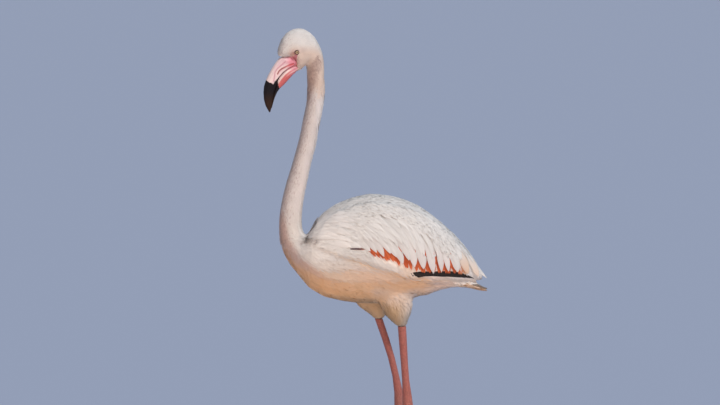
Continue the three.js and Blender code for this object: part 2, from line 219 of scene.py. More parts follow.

# %% [markdown]
# ## Colours of the plumage
# A greater flamingo is white with a breath of pink. Underneath, where belly, thighs and undertail face the
# ground, a sandy tan is painted warm bounce light from the sand, over a little of the feathers' own peach;
# painted shade darkens the breast, the neck's front, the throat and the thighs, and painted light brightens
# the shoulder. The neck is a little pinker and duller than the back. One function gives the colour at any
# place, and both skin and feathers ask it.

# %% Distance from drawn lines
def line_distance(places, line):
    """Distance from a line of points, which side of it (1 is above or ahead), and the share along it."""
    best = np.full(len(places), np.inf)
    side = np.ones(len(places))
    along = np.zeros(len(places))
    lengths = np.linalg.norm(np.diff(line, axis=0), axis=1)
    starts = np.concatenate([[0.0], np.cumsum(lengths)])
    for i, length in enumerate(lengths):
        step = (line[i + 1] - line[i]) / length
        away = places - line[i]
        reach = np.clip(away @ step, 0.0, length)
        apart = away - reach[:, None] * step
        distance = np.linalg.norm(apart, axis=1)
        nearer = distance < best
        best = np.where(nearer, distance, best)
        side = np.where(nearer, np.sign(step[0] * away[:, 1] - step[1] * away[:, 0]), side)
        along = np.where(nearer, (starts[i] + reach) / starts[-1], along)
    return best, side, along


def furrow(distance, width):
    return np.exp(-(distance / width) ** 2)


def inside(places, outline):
    """Which places lie inside a closed outline, by counting crossings."""
    x, z = places.T
    found = np.zeros(len(places), dtype=bool)
    for (x1, z1), (x2, z2) in zip(outline, np.roll(outline, -1, axis=0)):
        crosses = (z1 > z) != (z2 > z)
        edge = x1 + (z - z1) * (x2 - x1) / (z2 - z1 if z2 != z1 else 1e-9)
        found ^= crosses & (x < edge)
    return found


def depth_inside(places, outline):
    """Distance from a closed outline, positive inside it."""
    distance = line_distance(places, np.concatenate([outline, outline[:1]]))[0]
    return np.where(inside(places, outline), distance, -distance)


unit_square = np.array([(0.0, 0.0), (1.0, 0.0), (1.0, 1.0), (0.0, 1.0)])
print("depth at the middle of a unit square:", depth_inside(np.array([(0.5, 0.5)]), unit_square))

# %% [markdown]
# ## The palette
# Each colour is named for the place where it shows. The shoulder's white is painted light; the breast's mauve,
# the crevice's near-black and the throat's brown are painted shade, and the neck's fleck serves also as
# painted shade; the tans of breast, belly and tail are painted warm bounce from the sand. All are in linear
# light, so the warm ones look stronger here than on the finished bird.

# %% Plumage colours
WHITE = np.array([0.86, 0.83, 0.81])
WING_WHITE = np.array([0.80, 0.795, 0.79])
NECK_PINK = np.array([0.88, 0.84, 0.835])
# painted light: a white that brightens the shaded hollow at the neck's root
SHOULDER_LIGHT_WHITE = np.array([0.97, 0.95, 0.93])
# painted shade on the breast, below where the sun's light ends
BREAST_SHADE_MAUVE = np.array([0.72, 0.54, 0.49])
# painted warm bounce light from the sand, low on the breast
BREAST_BOUNCE_TAN = np.array([0.88, 0.56, 0.32])
CHEEK_CREAM = np.array([0.84, 0.70, 0.61])
# painted shade on the throat under the head; the flush behind the eye uses it too
THROAT_BROWN = np.array([0.43, 0.285, 0.26])
# the neck's flecks, and the painted shade on its front
NECK_FLECK_AND_SHADE = np.array([0.47, 0.33, 0.335])
# painted warm bounce light from the sand, over a little of the feathers' own peach
BELLY_BOUNCE_TAN = np.array([0.96, 0.66, 0.38])
FLANK_PINK = np.array([0.88, 0.67, 0.56])
# painted warm bounce light from the sand on the undertail
TAIL_BOUNCE_TAN = np.array([0.66, 0.44, 0.29])
SWEEP_WHITE = np.array([0.80, 0.70, 0.65])
# painted shade in the slit behind the neck's root
CREVICE_SHADE = np.array([0.06, 0.06, 0.09])
LORE_PINK = np.array([0.74, 0.42, 0.35])
BARE_PINK = np.array([0.64, 0.27, 0.30])
BARE_MAUVE = np.array([0.34, 0.13, 0.18])
print("brightness of body and wing:", round(float(WHITE.mean()), 3), round(float(WING_WHITE.mean()), 3))

# %% [markdown]
# ## Lines that markings and painted shade follow
# Throat, bare skin, breast and thigh follow a few drawn points each; the throat's line carries painted shade,
# and the breast's marks where painted shade begins. Those of the head are millimetres in the head's side view,
# forwards and upwards; the others are metres in the bird's.

# %% Lines and outlines of the markings
THROAT_LINE = np.array([(-60.0, -10.0), (-51.0, -38.0), (-47.0, -64.0), (-40.0, -90.0), (-37.0, -114.0)])
THROAT_WIDTH = (4.0, 14.0, 15.0, 9.0, 4.0)
BARE_OUTLINE = np.array([
    (16.0, -19.5), (12.9, -16.5), (7.5, -13.6), (0.7, -9.5), (-4.5, -5.5), (-10.5, -7.0), (-8.6, -16.5),
    (-8.8, -22.7), (-7.7, -27.6), (-7.0, -36.2), (-5.0, -42.4), (-2.5, -51.0), (12.0, -62.0), (34.0, -40.0),
])
# painted light: where the shaded hollow at the neck's root is drawn brightest
SHOULDER_LIGHT_PLACE = (-0.145, 0.672)  # the palest spot of the breast
SHOULDER_LIGHT_SIZE = 0.035
BREAST_SHADE_EDGE = np.array([  # where the sun's light ends: white above it, painted shade and warm bounce below it
    (-0.209, 0.752), (-0.199, 0.698), (-0.176, 0.660), (-0.144, 0.629), (-0.113, 0.607), (-0.079, 0.596),
])
THIGH_SWEEP = np.array([(-15, 578), (20, 573), (48, 562), (74, 546)]) * MM
SWEEP_WIDTH = 0.013
# painted shade: the slit where neck and wing meet lies in shadow
CREVICE = np.array([(-0.149, 0.717), (-0.140, 0.733)])  # the dark slit behind the neck's root
CREVICE_WIDTH = 0.0022


def wander(points, size, seed):
    """Soft random patches about size metres across, from -1 to 1, as a sum of a few waves."""
    rng = np.random.default_rng(seed)
    total = np.zeros(len(points))
    waves = 7
    for _ in range(waves):
        direction = unit(rng.normal(size=3)) * rng.uniform(0.7, 1.6) * 2.0 * math.pi / size
        total += np.sin(points @ direction + rng.uniform(0.0, 2.0 * math.pi))
    return total / math.sqrt(waves * 0.5) * 0.5


sample = wander(np.random.default_rng(1).random((1000, 3)), 0.1, 2)
print("soft patches run from", round(float(sample.min()), 2), "to", round(float(sample.max()), 2))

# %% [markdown]
# ## Painting the face
# Cheeks, the throat's painted shade under the head, the flush behind the eye and the lores are four soft
# patches laid one over another, as each short feather takes the colour of its own root.

# %% Face colours
CHEEK_SHARE = 0.9
THROAT_SHADE_SHARE = 0.64
FLUSH_PLACE, FLUSH_SIZE, FLUSH_SHARE = (-19.0, 1.0), 9.0, 0.25
LORE_PLACE, LORE_SIZE, LORE_SHARE = (5.0, -8.0), 7.0, 0.75


def face_colour(points, colour):
    """Warm cheeks, a brown throat patch of painted shade under the head, and a flush behind the eye."""
    place = head_view(points)
    ahead, up = place.T
    on_head = smooth(points[:, 2], 1.03, 1.06) * (1.0 - smooth(points[:, 0], -0.12, -0.10))
    cheek = smooth(-up, -20.0, 8.0) * smooth(-ahead, -22.0, 0.0)
    colour = mix(colour, CHEEK_CREAM, on_head * CHEEK_SHARE * cheek)
    # painted shade: the brown throat patch under the head
    distance, _, along = line_distance(place, THROAT_LINE)
    width = np.interp(along, np.linspace(0.0, 1.0, len(THROAT_WIDTH)), THROAT_WIDTH)
    throat_shade = (1.0 - smooth(distance / width, 0.35, 1.15)) * (0.8 + 0.35 * wander(points, 0.008, 6))
    above_neck = smooth(points[:, 2], 1.0, 1.03)
    colour = mix(colour, THROAT_BROWN, np.clip(THROAT_SHADE_SHARE * throat_shade * above_neck, 0.0, 1.0))
    flush = furrow(np.hypot(ahead - FLUSH_PLACE[0], (up - FLUSH_PLACE[1]) * 1.4), FLUSH_SIZE)
    colour = mix(colour, THROAT_BROWN, FLUSH_SHARE * flush * on_head)
    lore = furrow(np.hypot(ahead - LORE_PLACE[0], up - LORE_PLACE[1]), LORE_SIZE)
    return mix(colour, LORE_PINK, LORE_SHARE * lore * on_head)


print("face colour beside the eye:", face_colour(EYES["left"][None], WHITE[None])[0].round(2))

# %% [markdown]
# ## Painting the body
# Each zone mixes its colour over what lies below, with a soft edge: the neck with painted shade on its front,
# the breast with painted light on its shoulder and painted shade and warm bounce below its lit part, the belly
# with painted warm bounce from the sand, and the thighs with painted shade. The whole is then lightened and
# darkened a little in soft patches.

# %% Colour of neck, breast and belly
FRONT_SHADE_SHARE = 0.20
BREAST_SHADE_SHARE = 0.8
BELLY_BOUNCE_SHARE = 0.9
# painted shade: how much darker the thighs are drawn under the body, near and far side, and more at their
# front
NEAR_THIGH_SHADE, FAR_THIGH_SHADE, FRONT_THIGH_SHADE = 0.40, 0.12, 0.14  # how much duller the thighs are than the belly
SWEEP_SHARE = 0.5
CREVICE_SHADE_SHARE = 0.9
PATCHINESS = 0.035


def neck_colour(points, normals, colour):
    """A breath of pink all round the neck, and a greyer front that is painted shade on the side facing
    forwards, away from the sun.
    """
    x, z = points[:, 0], points[:, 2]
    neck = smooth(z, 0.70, 0.80) * (1.0 - smooth(x, -0.13, -0.08)) * (1.0 - smooth(z, 1.06, 1.12))
    colour = mix(colour, NECK_PINK, np.clip(neck * (0.85 + 0.30 * wander(points, 0.010, 3)), 0.0, 1.0))
    # painted shade: the neck's side that faces forwards, away from the sun, is drawn greyer
    front = smooth(z, 0.66, 0.80) * (1.0 - smooth(z, 1.00, 1.06)) * smooth(-normals[:, 0], 0.15, 0.85)
    front = front * (1.0 - smooth(x, -0.16, -0.12))
    return mix(colour, NECK_FLECK_AND_SHADE, FRONT_SHADE_SHARE * front)


def breast_colour(points, colour):
    """Painted light at the shoulder; below the line where the sun's light ends, painted shade in mauve and
    then painted warm bounce in tan.
    """
    x, z = points[:, 0], points[:, 2]
    edge, side, _ = line_distance(side_view(points), BREAST_SHADE_EDGE)
    below = edge * -side
    breast = (1.0 - smooth(x, -0.10, -0.03)) * (1.0 - smooth(z, 0.73, 0.79))
    # painted light: a pool of white at the shoulder, over a hollow that lies in shade
    shoulder_light = furrow(np.hypot(x - SHOULDER_LIGHT_PLACE[0], z - SHOULDER_LIGHT_PLACE[1]), SHOULDER_LIGHT_SIZE)
    colour = mix(colour, SHOULDER_LIGHT_WHITE, 0.9 * shoulder_light)
    # painted shade in mauve, then painted warm bounce in tan, below the edge of the sun's light
    colour = mix(colour, BREAST_SHADE_MAUVE, BREAST_SHADE_SHARE * breast * smooth(below, -0.006, 0.008))
    low = 1.0 - smooth(z, 0.66, 0.71)
    return mix(colour, BREAST_BOUNCE_TAN, BREAST_SHADE_SHARE * breast * smooth(below, 0.008, 0.030) * low)


def belly_colour(points, normals, colour):
    """Pink flanks, a tan of painted warm bounce light from the sand where the body faces the ground, over a
    little of the feathers' own peach, thighs darkened by painted shade, and a pale sweep.
    """
    x, z = points[:, 0], points[:, 2]
    flank = furrow(z - 0.608 + 0.12 * x, 0.040) * smooth(x, -0.14, -0.02) * (1.0 - smooth(x, 0.13, 0.19))
    colour = mix(colour, FLANK_PINK, 0.6 * flank)
    # painted warm bounce light from the sand: tan where the body faces the ground and on the thighs' lower
    # parts
    sand_lit = smooth(-normals[:, 2], -0.10, 0.70) * (1.0 - smooth(z, 0.62, 0.72))
    sand_lit = sand_lit * (1.0 - 0.95 * smooth(x, 0.06, 0.12))
    thigh = (1.0 - smooth(z, 0.545, 0.60)) * (1.0 - 0.85 * smooth(x, 0.040, 0.080))
    colour = mix(colour, BELLY_BOUNCE_TAN, BELLY_BOUNCE_SHARE * np.maximum(sand_lit, 0.95 * thigh * (z > 0.49)))
    # painted shade on the thighs under the body, strongest on the near side and towards their front
    thigh_shade = np.where(points[:, 1] < 0.0, NEAR_THIGH_SHADE, FAR_THIGH_SHADE) + FRONT_THIGH_SHADE * (1.0 - smooth(x, 0.015, 0.05))
    colour = colour * (1.0 - thigh_shade * (1.0 - smooth(z, 0.53, 0.59)))[:, None]
    sweep, _, _ = line_distance(side_view(points), THIGH_SWEEP)
    on_outside = np.abs(points[:, 1]) > 0.02
    return mix(colour, SWEEP_WHITE, SWEEP_SHARE * furrow(sweep, SWEEP_WIDTH) * on_outside)


def plumage_colour(points, normals):
    """The colour of the plumage at any place: every zone in turn."""
    x, z = points[:, 0], points[:, 2]
    colour = np.tile(WHITE, (len(points), 1))
    colour = mix(colour, WING_WHITE, smooth(z, 0.62, 0.68) * smooth(x, -0.15, -0.10))
    colour = neck_colour(points, normals, colour)
    colour = breast_colour(points, colour)
    colour = face_colour(points, colour)
    colour = belly_colour(points, normals, colour)
    # painted warm bounce light from the sand on the undertail
    colour = mix(colour, TAIL_BOUNCE_TAN, 0.8 * smooth(x, 0.160, 0.205) * (z < 0.599))
    # painted shade: a near-black line in the slit behind the neck's root, on the near side only
    slit, _, _ = line_distance(side_view(points), CREVICE)
    on_near_side = (normals[:, 0] < 0.6) * (points[:, 1] < 0.0)
    colour = mix(colour, CREVICE_SHADE, CREVICE_SHADE_SHARE * furrow(slit, CREVICE_WIDTH) * on_near_side)
    return np.clip(colour * (1.0 + PATCHINESS * wander(points, 0.03, 5))[:, None], 0.0, 1.0)


downwards = np.array([[0.0, 0.0, -1.0]])
print("belly colour:", plumage_colour(np.array([[0.0, 0.0, 0.56]]), downwards)[0].round(2))

# %% [markdown]
# ## The skin
# On the bird one skin runs over everything, hidden by the plumage but for the bare ring round the eye and
# the legs. Here the flesh solids are copied, grown by a hair so that their thin gaps close, and melted
# together by a voxel remesh. The result is smoothed and then drawn inwards by the depth of the coat, so that
# the feathers laid over it end at the solids' own surface. The head is remeshed finer than the body, and the
# two overlap under the feathers of the neck.

# %% Melt the flesh solids into one surface
def flesh_shell(name, nodes, grow, voxel, rounds, extra=()):
    """Several solids melted into one closed surface: vertices, normals and quads."""
    verts_all, tris_all, start = [], [], 0
    for verts, tris in [read_mesh(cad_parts[node].data) for node in nodes] + list(extra):
        first, second = verts[tris[:, 1]] - verts[tris[:, 0]], verts[tris[:, 2]] - verts[tris[:, 0]]
        corner_normals = np.cross(first, second)
        normals = np.zeros_like(verts)
        for corner in range(3):
            np.add.at(normals, tris[:, corner], corner_normals)
        verts_all.append(verts + unit(normals) * grow)
        tris_all.append(tris + start)
        start += len(verts)
    raw = make_mesh(name + "_raw", np.concatenate(verts_all), np.concatenate(tris_all))
    remesh = raw.modifiers.new("melt", "REMESH")
    remesh.mode = "VOXEL"
    remesh.voxel_size = voxel
    soften = raw.modifiers.new("soften", "SMOOTH")
    soften.factor = 0.5
    soften.iterations = rounds
    baked = raw.evaluated_get(bpy.context.evaluated_depsgraph_get()).to_mesh()
    count = len(baked.polygons)
    verts = np.empty(len(baked.vertices) * 3, dtype=np.float32)
    baked.vertices.foreach_get("co", verts)
    normals = np.empty(len(baked.vertices) * 3, dtype=np.float32)
    baked.vertex_normals.foreach_get("vector", normals)
    quads = np.empty(count * 4, dtype=np.int32)
    baked.loops.foreach_get("vertex_index", quads)
    raw.to_mesh_clear()
    bpy.data.objects.remove(raw)
    print(name, "faces:", count)
    return verts.reshape(-1, 3).astype(float), normals.reshape(-1, 3).astype(float), quads.reshape(-1, 4)


LEG_NODES = [part + side for side, _ in SIDES for part in ("tibia_", "hock_", "tarsus_", "foot_")]
leg_shell = flesh_shell("leg_shell", LEG_NODES, 0.25 * MM, 1.0 * MM, 2)

# %% [markdown]
# ## Rounding the thigh's crease
# A thigh grows out of the body without a groove, so every point near both solids moves towards the mean of
# its neighbours, again and again. Smoothing the whole body as much would flatten the breast.

# %% Trim and round off
def keep_faces(verts, normals, quads, keep_vertex):
    quads = quads[keep_vertex[quads].all(axis=1)]
    used = np.unique(quads)
    place = np.full(len(verts), -1)
    place[used] = np.arange(len(used))
    return verts[used], normals[used], place[quads]


def vertex_normals(verts, quads):
    first, second = verts[quads[:, 2]] - verts[quads[:, 0]], verts[quads[:, 3]] - verts[quads[:, 1]]
    corner_normals = np.cross(first, second)
    normals = np.zeros_like(verts)
    for corner in range(4):
        np.add.at(normals, quads[:, corner], corner_normals)
    return unit(normals)


def filleted(shell, node, other, reach, rounds):
    """The shell with the crease between two solids rounded off."""
    verts, _, quads = shell
    share = np.ones(len(verts))
    low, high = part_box(node)
    near = ((verts > np.array(low) - reach) & (verts < np.array(high) + reach)).all(axis=1)
    share[~near] = 0.0
    for name in (node, other):
        solid_verts, solid_tris = read_mesh(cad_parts[name].data)
        tree = BVHTree.FromPolygons(solid_verts.tolist(), solid_tris.tolist())
        away = np.array([tree.find_nearest(Vector(v))[3] for v in verts[near]])
        share[near] *= 1.0 - smooth(away, 0.35 * reach, reach)
    local = quads[(share[quads] > 0.0).any(axis=1)]
    used, local = np.unique(local, return_inverse=True)
    local = local.reshape(-1, 4)
    place, weight = verts[used], share[used][:, None] * 0.5
    for _ in range(rounds):
        total, count = np.zeros_like(place), np.zeros(len(place))
        for corner in range(4):
            for step in (1, 3):
                np.add.at(total, local[:, corner], place[local[:, (corner + step) % 4]])
                np.add.at(count, local[:, corner], 1.0)
        place = place + weight * (total / count[:, None] - place)
    verts = verts.copy()
    verts[used] = place
    return verts, vertex_normals(verts, quads), quads


NECK_NODES = ["neck_upper", "neck_middle", "neck_lower"]
PAIRED_NODES = [part + side for side, _ in SIDES for part in ("wing_", "thigh_")]
BODY_NODES = NECK_NODES + ["trunk", "tail"] + PAIRED_NODES
body_shell = flesh_shell("body_shell", BODY_NODES + ["head"], 0.5 * MM, 2.8 * MM, 6)
for side, _ in SIDES:
    body_shell = filleted(body_shell, "thigh_" + side, "trunk", 0.022, 60)

# %% [markdown]
# ## The head and its chin
# The chin's feathers run a little way over the lower half of the bill, so its rear end is cut off as a closed
# mesh and melted in with the head for them to stand on.

# %% Melt the head
def chin_pad(front):
    """The rear end of the bill's lower half, which the chin's feathers cover, as a closed mesh."""
    block = bmesh.new()
    block.from_mesh(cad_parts["bill_lower"].data)
    bmesh.ops.remove_doubles(block, verts=block.verts[:], dist=1e-6)
    parts = block.verts[:] + block.edges[:] + block.faces[:]
    cut = from_head(front, 0.0, 0.0)
    bmesh.ops.bisect_plane(block, geom=parts, plane_co=cut, plane_no=HEAD_FORWARD, clear_outer=True)
    bmesh.ops.holes_fill(block, edges=block.edges[:])
    mesh = bpy.data.meshes.new("chin_pad")
    block.to_mesh(mesh)
    block.free()
    return read_mesh(mesh)


CHIN_FRONT = -3.0  # where the chin's feathers end, in millimetres ahead of the head's origin
HEAD_SKIN_BASE = 1.030  # the head's finer skin ends at this height, inside the neck's
SKIN_OVERLAP = 0.012
head_shell = flesh_shell(
    "head_shell", ["head", "neck_upper"], 0.5 * MM, 1.3 * MM, 12, extra=[chin_pad(CHIN_FRONT)],
)
body_shell = keep_faces(*body_shell, body_shell[0][:, 2] < HEAD_SKIN_BASE + SKIN_OVERLAP)
head_shell = keep_faces(*head_shell, head_shell[0][:, 2] > HEAD_SKIN_BASE)
print("faces left on body and head:", len(body_shell[2]), len(head_shell[2]))

# %% [markdown]
# ## How deep the coat is
# The coat's depth changes over the bird: five millimetres on the folded wing, three and a half on the trunk,
# two on the neck, less on the head, and least before the eye and at the hem where the bare leg starts.

# %% Draw the skin inwards by the coat's depth
TRUNK_COAT, WING_EXTRA = 3.4, 1.6  # millimetres; the wing's comes on top of the trunk's
NECK_COAT, HEAD_COAT, TAIL_COAT, HEM_COAT = 1.9, 1.4, 1.5, 1.0


def coat_depth(points):
    """Depth of the coat in metres at points of the bird."""
    x, z = points[:, 0], points[:, 2]
    depth = np.full(len(points), TRUNK_COAT)
    wing = np.hypot((x - 0.085) / 0.175, (z - 0.690 + 0.35 * (x - 0.085)) / 0.075)
    depth = depth + WING_EXTRA * (1.0 - smooth(wing, 0.75, 1.1))
    neck = smooth(z, 0.62, 0.76) * (1.0 - smooth(x, -0.15, -0.11))
    depth = depth + (NECK_COAT - depth) * neck
    ahead, _, up = to_head(points).T
    depth = depth + (HEAD_COAT - depth) * smooth(z, 1.05, 1.09)
    face = np.exp(-(((ahead - 4.0) / 12.0) ** 2 + ((up + 8.0) / 14.0) ** 2)) * (z > 1.05)
    depth = depth * (1.0 - 0.75 * np.clip(face, 0.0, 1.0))
    hem = 1.0 - smooth(z, 0.500, 0.545)
    depth = depth + (HEM_COAT - depth) * hem
    tail = smooth(x, 0.15, 0.22)
    depth = depth + (TAIL_COAT - depth) * tail
    return depth * MM


def drawn_in(shell):
    verts, normals, quads = shell
    return verts - unit(normals) * coat_depth(verts)[:, None], normals, quads


body_skin = drawn_in(body_shell)
head_skin = drawn_in(head_shell)
depths = coat_depth(body_shell[0]) / MM
print("coat depth mm:", round(float(depths.min()), 1), "to", round(float(depths.max()), 1))

# %% [markdown]
# ## Asking the skin where it is
# Every feather is laid on the skin, so the skin must answer two questions fast: what is its nearest point to
# a place, and which point shows at a place in the side view. A search tree answers both.

# %% Search trees of the skins
class Surface:
    """A mesh that answers where its nearest point is."""

    def __init__(self, verts, quads):
        self.verts = verts
        self.tris = np.concatenate([quads[:, [0, 1, 2]], quads[:, [0, 2, 3]]])
        self.tree = BVHTree.FromPolygons(verts.tolist(), self.tris.tolist())
        self.face_normals = unit(np.cross(
            verts[self.tris[:, 1]] - verts[self.tris[:, 0]], verts[self.tris[:, 2]] - verts[self.tris[:, 0]],
        ))

    def nearest(self, points):
        hits = [self.tree.find_nearest(Vector(p)) for p in points.reshape(-1, 3)]
        places = np.array([hit[0] for hit in hits])
        normals = np.array([hit[1] for hit in hits])
        return places.reshape(points.shape), normals.reshape(points.shape)

    def from_side(self, places, out):
        """The near surface that side-view places (x, z) show, or its mirror image where out is 1."""
        eye = Vector(VIEWPOINT)
        found = []
        for x, z in places:
            target = Vector((x, 0.0, z))
            hit = self.tree.ray_cast(eye, target - eye)[0]
            if hit is None:
                hit = self.tree.find_nearest(target)[0]
            found.append(hit)
        found = np.array(found)
        found[:, 1] *= -out
        return self.nearest(found)


body_surface = Surface(body_skin[0], body_skin[2])
head_surface = Surface(head_skin[0], head_skin[2])
whole_surface = Surface(
    np.concatenate([body_skin[0], head_skin[0]]),
    np.concatenate([body_skin[2], head_skin[2] + len(body_skin[0])]),
)
print("body and head skin faces:", len(body_skin[2]), len(head_skin[2]))

# %% [markdown]
# ## The lie of the coat
# Feathers point the way the air passes: back over the crown, down the neck, round the breast, and then back
# and down over the folded wing in long curves. A few listed guide arrows say this, each a place and a
# direction in millimetres on one side of the bird. Between them the direction is blended by distance, and
# the other side is the mirror image.

# %% Guide arrows
GUIDES = (
    # place x, outwards, z        direction x, outwards, z
    ((-135, 0, 1050), (0.03, 0.0, -1.0)),
    ((-150, 0, 960), (-0.18, 0.0, -1.0)),
    ((-175, 0, 880), (-0.24, 0.0, -1.0)),
    ((-187, 0, 800), (-0.15, 0.0, -1.0)),
    ((-193, 0, 745), (0.0, 0.0, -1.0)),
    ((-216, 0, 690), (0.25, 0.0, -1.0)),
    ((-165, 25, 715), (0.35, 0.25, -0.9)),
    ((-200, 45, 655), (0.5, 0.15, -0.8)),
    ((-170, 0, 610), (0.7, 0.0, -0.7)),
    ((-150, 70, 650), (0.8, 0.25, -0.5)),
    ((-120, 0, 560), (1.0, 0.0, -0.15)),
    ((-100, 80, 600), (0.93, 0.0, -0.3)),
    ((-40, 0, 547), (1.0, 0.0, 0.0)),
    ((40, 0, 552), (1.0, 0.0, 0.1)),
    ((120, 0, 578), (1.0, 0.0, 0.2)),
    ((200, 0, 585), (1.0, 0.0, 0.05)),
    ((150, 45, 593), (1.0, 0.0, 0.02)),
    ((195, 30, 592), (1.0, 0.0, -0.05)),
    ((235, 10, 590), (0.95, 0.0, -0.3)),
    ((65, 75, 588), (1.0, 0.0, -0.05)),
    ((-150, 0, 712), (0.55, 0.0, 0.8)),
    ((-130, 35, 740), (0.8, 0.3, 0.35)),
    ((-120, 0, 765), (0.85, 0.0, 0.5)),
    ((-60, 0, 795), (1.0, 0.0, 0.15)),
    ((0, 0, 800), (1.0, 0.0, 0.0)),
    ((60, 0, 785), (0.97, 0.0, -0.25)),
    ((130, 0, 740), (0.78, 0.0, -0.62)),
    ((200, 0, 675), (0.62, 0.0, -0.78)),
    ((240, 0, 620), (0.5, 0.0, -0.85)),
    ((-120, 75, 700), (0.95, 0.1, -0.15)),
    ((-92, 70, 745), (0.92, 0.2, -0.25)),
    ((-60, 85, 715), (0.85, 0.0, -0.5)),
    ((-50, 90, 680), (0.92, 0.0, -0.38)),
    ((-38, 65, 768), (0.95, 0.2, -0.22)),
    ((-20, 60, 775), (0.88, 0.3, -0.40)),
    ((5, 80, 745), (0.77, 0.0, -0.64)),
    ((-18, 88, 722), (0.72, 0.0, -0.69)),
    ((0, 90, 690), (0.55, 0.0, -0.84)),
    ((18, 90, 665), (0.42, 0.0, -0.91)),
    ((35, 88, 705), (0.68, 0.0, -0.73)),
    ((50, 88, 675), (0.47, 0.0, -0.88)),
    ((62, 85, 645), (0.24, 0.0, -0.97)),
    ((32, 60, 772), (0.80, 0.3, -0.60)),
    ((71, 70, 746), (0.64, 0.0, -0.77)),
    ((80, 80, 715), (0.44, 0.0, -0.90)),
    ((98, 75, 695), (0.20, 0.0, -0.98)),
    ((92, 75, 645), (0.08, 0.0, -1.0)),
    ((100, 35, 765), (0.72, 0.2, -0.68)),
    ((115, 60, 735), (0.50, 0.1, -0.86)),
    ((138, 50, 705), (0.26, 0.0, -0.97)),
    ((142, 60, 655), (0.05, 0.0, -1.0)),
    ((145, 50, 622), (0.04, 0.0, -1.0)),
    ((178, 35, 693), (0.36, 0.1, -0.93)),
    ((182, 42, 645), (0.14, 0.0, -0.99)),
    ((190, 35, 618), (0.12, 0.0, -0.99)),
    ((209, 30, 642), (0.36, 0.0, -0.93)),
    ((225, 22, 615), (0.36, 0.0, -0.93)),
    ((-60, 90, 635), (0.97, 0.0, -0.22)),
    ((20, 90, 628), (0.94, 0.0, -0.34)),
    ((48, 85, 614), (0.95, 0.0, -0.30)),
    ((0, 90, 615), (0.98, 0.0, -0.18)),
    ((50, 80, 598), (0.98, 0.0, -0.12)),
    ((100, 60, 590), (1.0, 0.0, 0.02)),
    ((-60, 60, 570), (0.97, 0.0, -0.2)),
    ((10, 60, 565), (0.8, 0.0, -0.6)),
    ((80, 50, 575), (1.0, 0.0, 0.1)),
)
# Each leg stands differently, so the thighs have arrows of their own: place x, y, z.
THIGH_GUIDES = (
    ((30, -72, 548), (0.25, 0.0, -1.0)),
    ((50, -60, 530), (0.1, 0.0, -1.0)),
    ((62, -41, 505), (0.0, 0.0, -1.0)),
    ((85, -42, 540), (-0.2, 0.0, -1.0)),
    ((-10, 68, 545), (0.3, 0.0, -1.0)),
    ((8, 41, 512), (0.1, 0.0, -1.0)),
    ((30, 42, 540), (-0.25, 0.0, -1.0)),
)
# On the head the arrows are in the head's own axes: forward, left, up.
HEAD_GUIDES = (
    ((34, 0, -4), (-0.15, 0.0, 1.0)),
    ((28, 0, 26), (-0.7, 0.0, 0.7)),
    ((12, 18, 10), (-0.9, 0.2, 0.35)),
    ((0, 0, 53), (-1.0, 0.0, 0.05)),
    ((-10, 22, 20), (-1.0, 0.0, -0.05)),
    ((-30, 0, 52), (-0.95, 0.0, -0.3)),
    ((-30, 24, 15), (-0.85, 0.0, -0.5)),
    ((-55, 0, 33), (-0.6, 0.0, -0.8)),
    ((-68, 0, 5), (-0.3, 0.0, -1.0)),
    ((-75, 0, -30), (-0.08, 0.0, -1.0)),
    ((-5, 14, -38), (-0.9, 0.0, -0.4)),
    ((-8, 20, -18), (-0.9, 0.0, -0.45)),
    ((-25, 20, -25), (-0.75, 0.0, -0.65)),
    ((-30, 0, -38), (-0.7, 0.0, -0.7)),
    ((-38, 0, -55), (-0.1, 0.0, -1.0)),
    ((-57, 20, -50), (-0.05, 0.0, -1.0)),
)
print("arrows of one side:", len(GUIDES), "thighs:", len(THIGH_GUIDES), "head:", len(HEAD_GUIDES))

# %% [markdown]
# ## Blending the arrows
# At any place each arrow counts by one over the fourth power of its distance, so near ones rule and far ones
# only fill in. The blend is then laid flat on the surface, because a feather can't point into the body.

# %% Lie of the coat
GUIDE_BLUR = 0.012  # distance over which arrows are averaged


def gather_guides():
    places, directions = [], []
    for out in (-1.0, 1.0):
        for place, direction in GUIDES:
            places.append(np.array(place) * (1.0, out, 1.0) * MM)
            directions.append(np.array(direction) * (1.0, out, 1.0))
        for place, direction in HEAD_GUIDES:
            places.append(from_head(place[0], place[1] * out, place[2]))
            local = np.array(direction) * (1.0, out, 1.0)
            directions.append(local @ np.stack([HEAD_FORWARD, HEAD_LEFT, HEAD_UP]))
    for place, direction in THIGH_GUIDES:
        places.append(np.array(place) * MM)
        directions.append(np.array(direction))
    return np.array(places), unit(np.array(directions, dtype=float))


GUIDE_PLACES, GUIDE_DIRECTIONS = gather_guides()


def lie_of_coat(points, normals):
    """The direction in which feathers point, along the surface."""
    flat = points.reshape(-1, 3)
    away = ((flat[:, None, :] - GUIDE_PLACES[None]) ** 2).sum(axis=2)
    weight = 1.0 / (away + GUIDE_BLUR ** 2) ** 2
    blended = unit(weight @ GUIDE_DIRECTIONS).reshape(points.shape)
    return unit(blended - normals * (blended * normals).sum(axis=-1, keepdims=True))


print("guide arrows:", len(GUIDE_PLACES))

# %% [markdown]
# ## Where a feather finds its colour when it is baked
# An exporter stores colour in an image, so each feather needs a small place of its own on a flat map. The
# neck and trunk are unrolled about a line through their middle: how far along the line gives one coordinate
# and the angle round it gives the other. The legs are unrolled in the same way beside it.

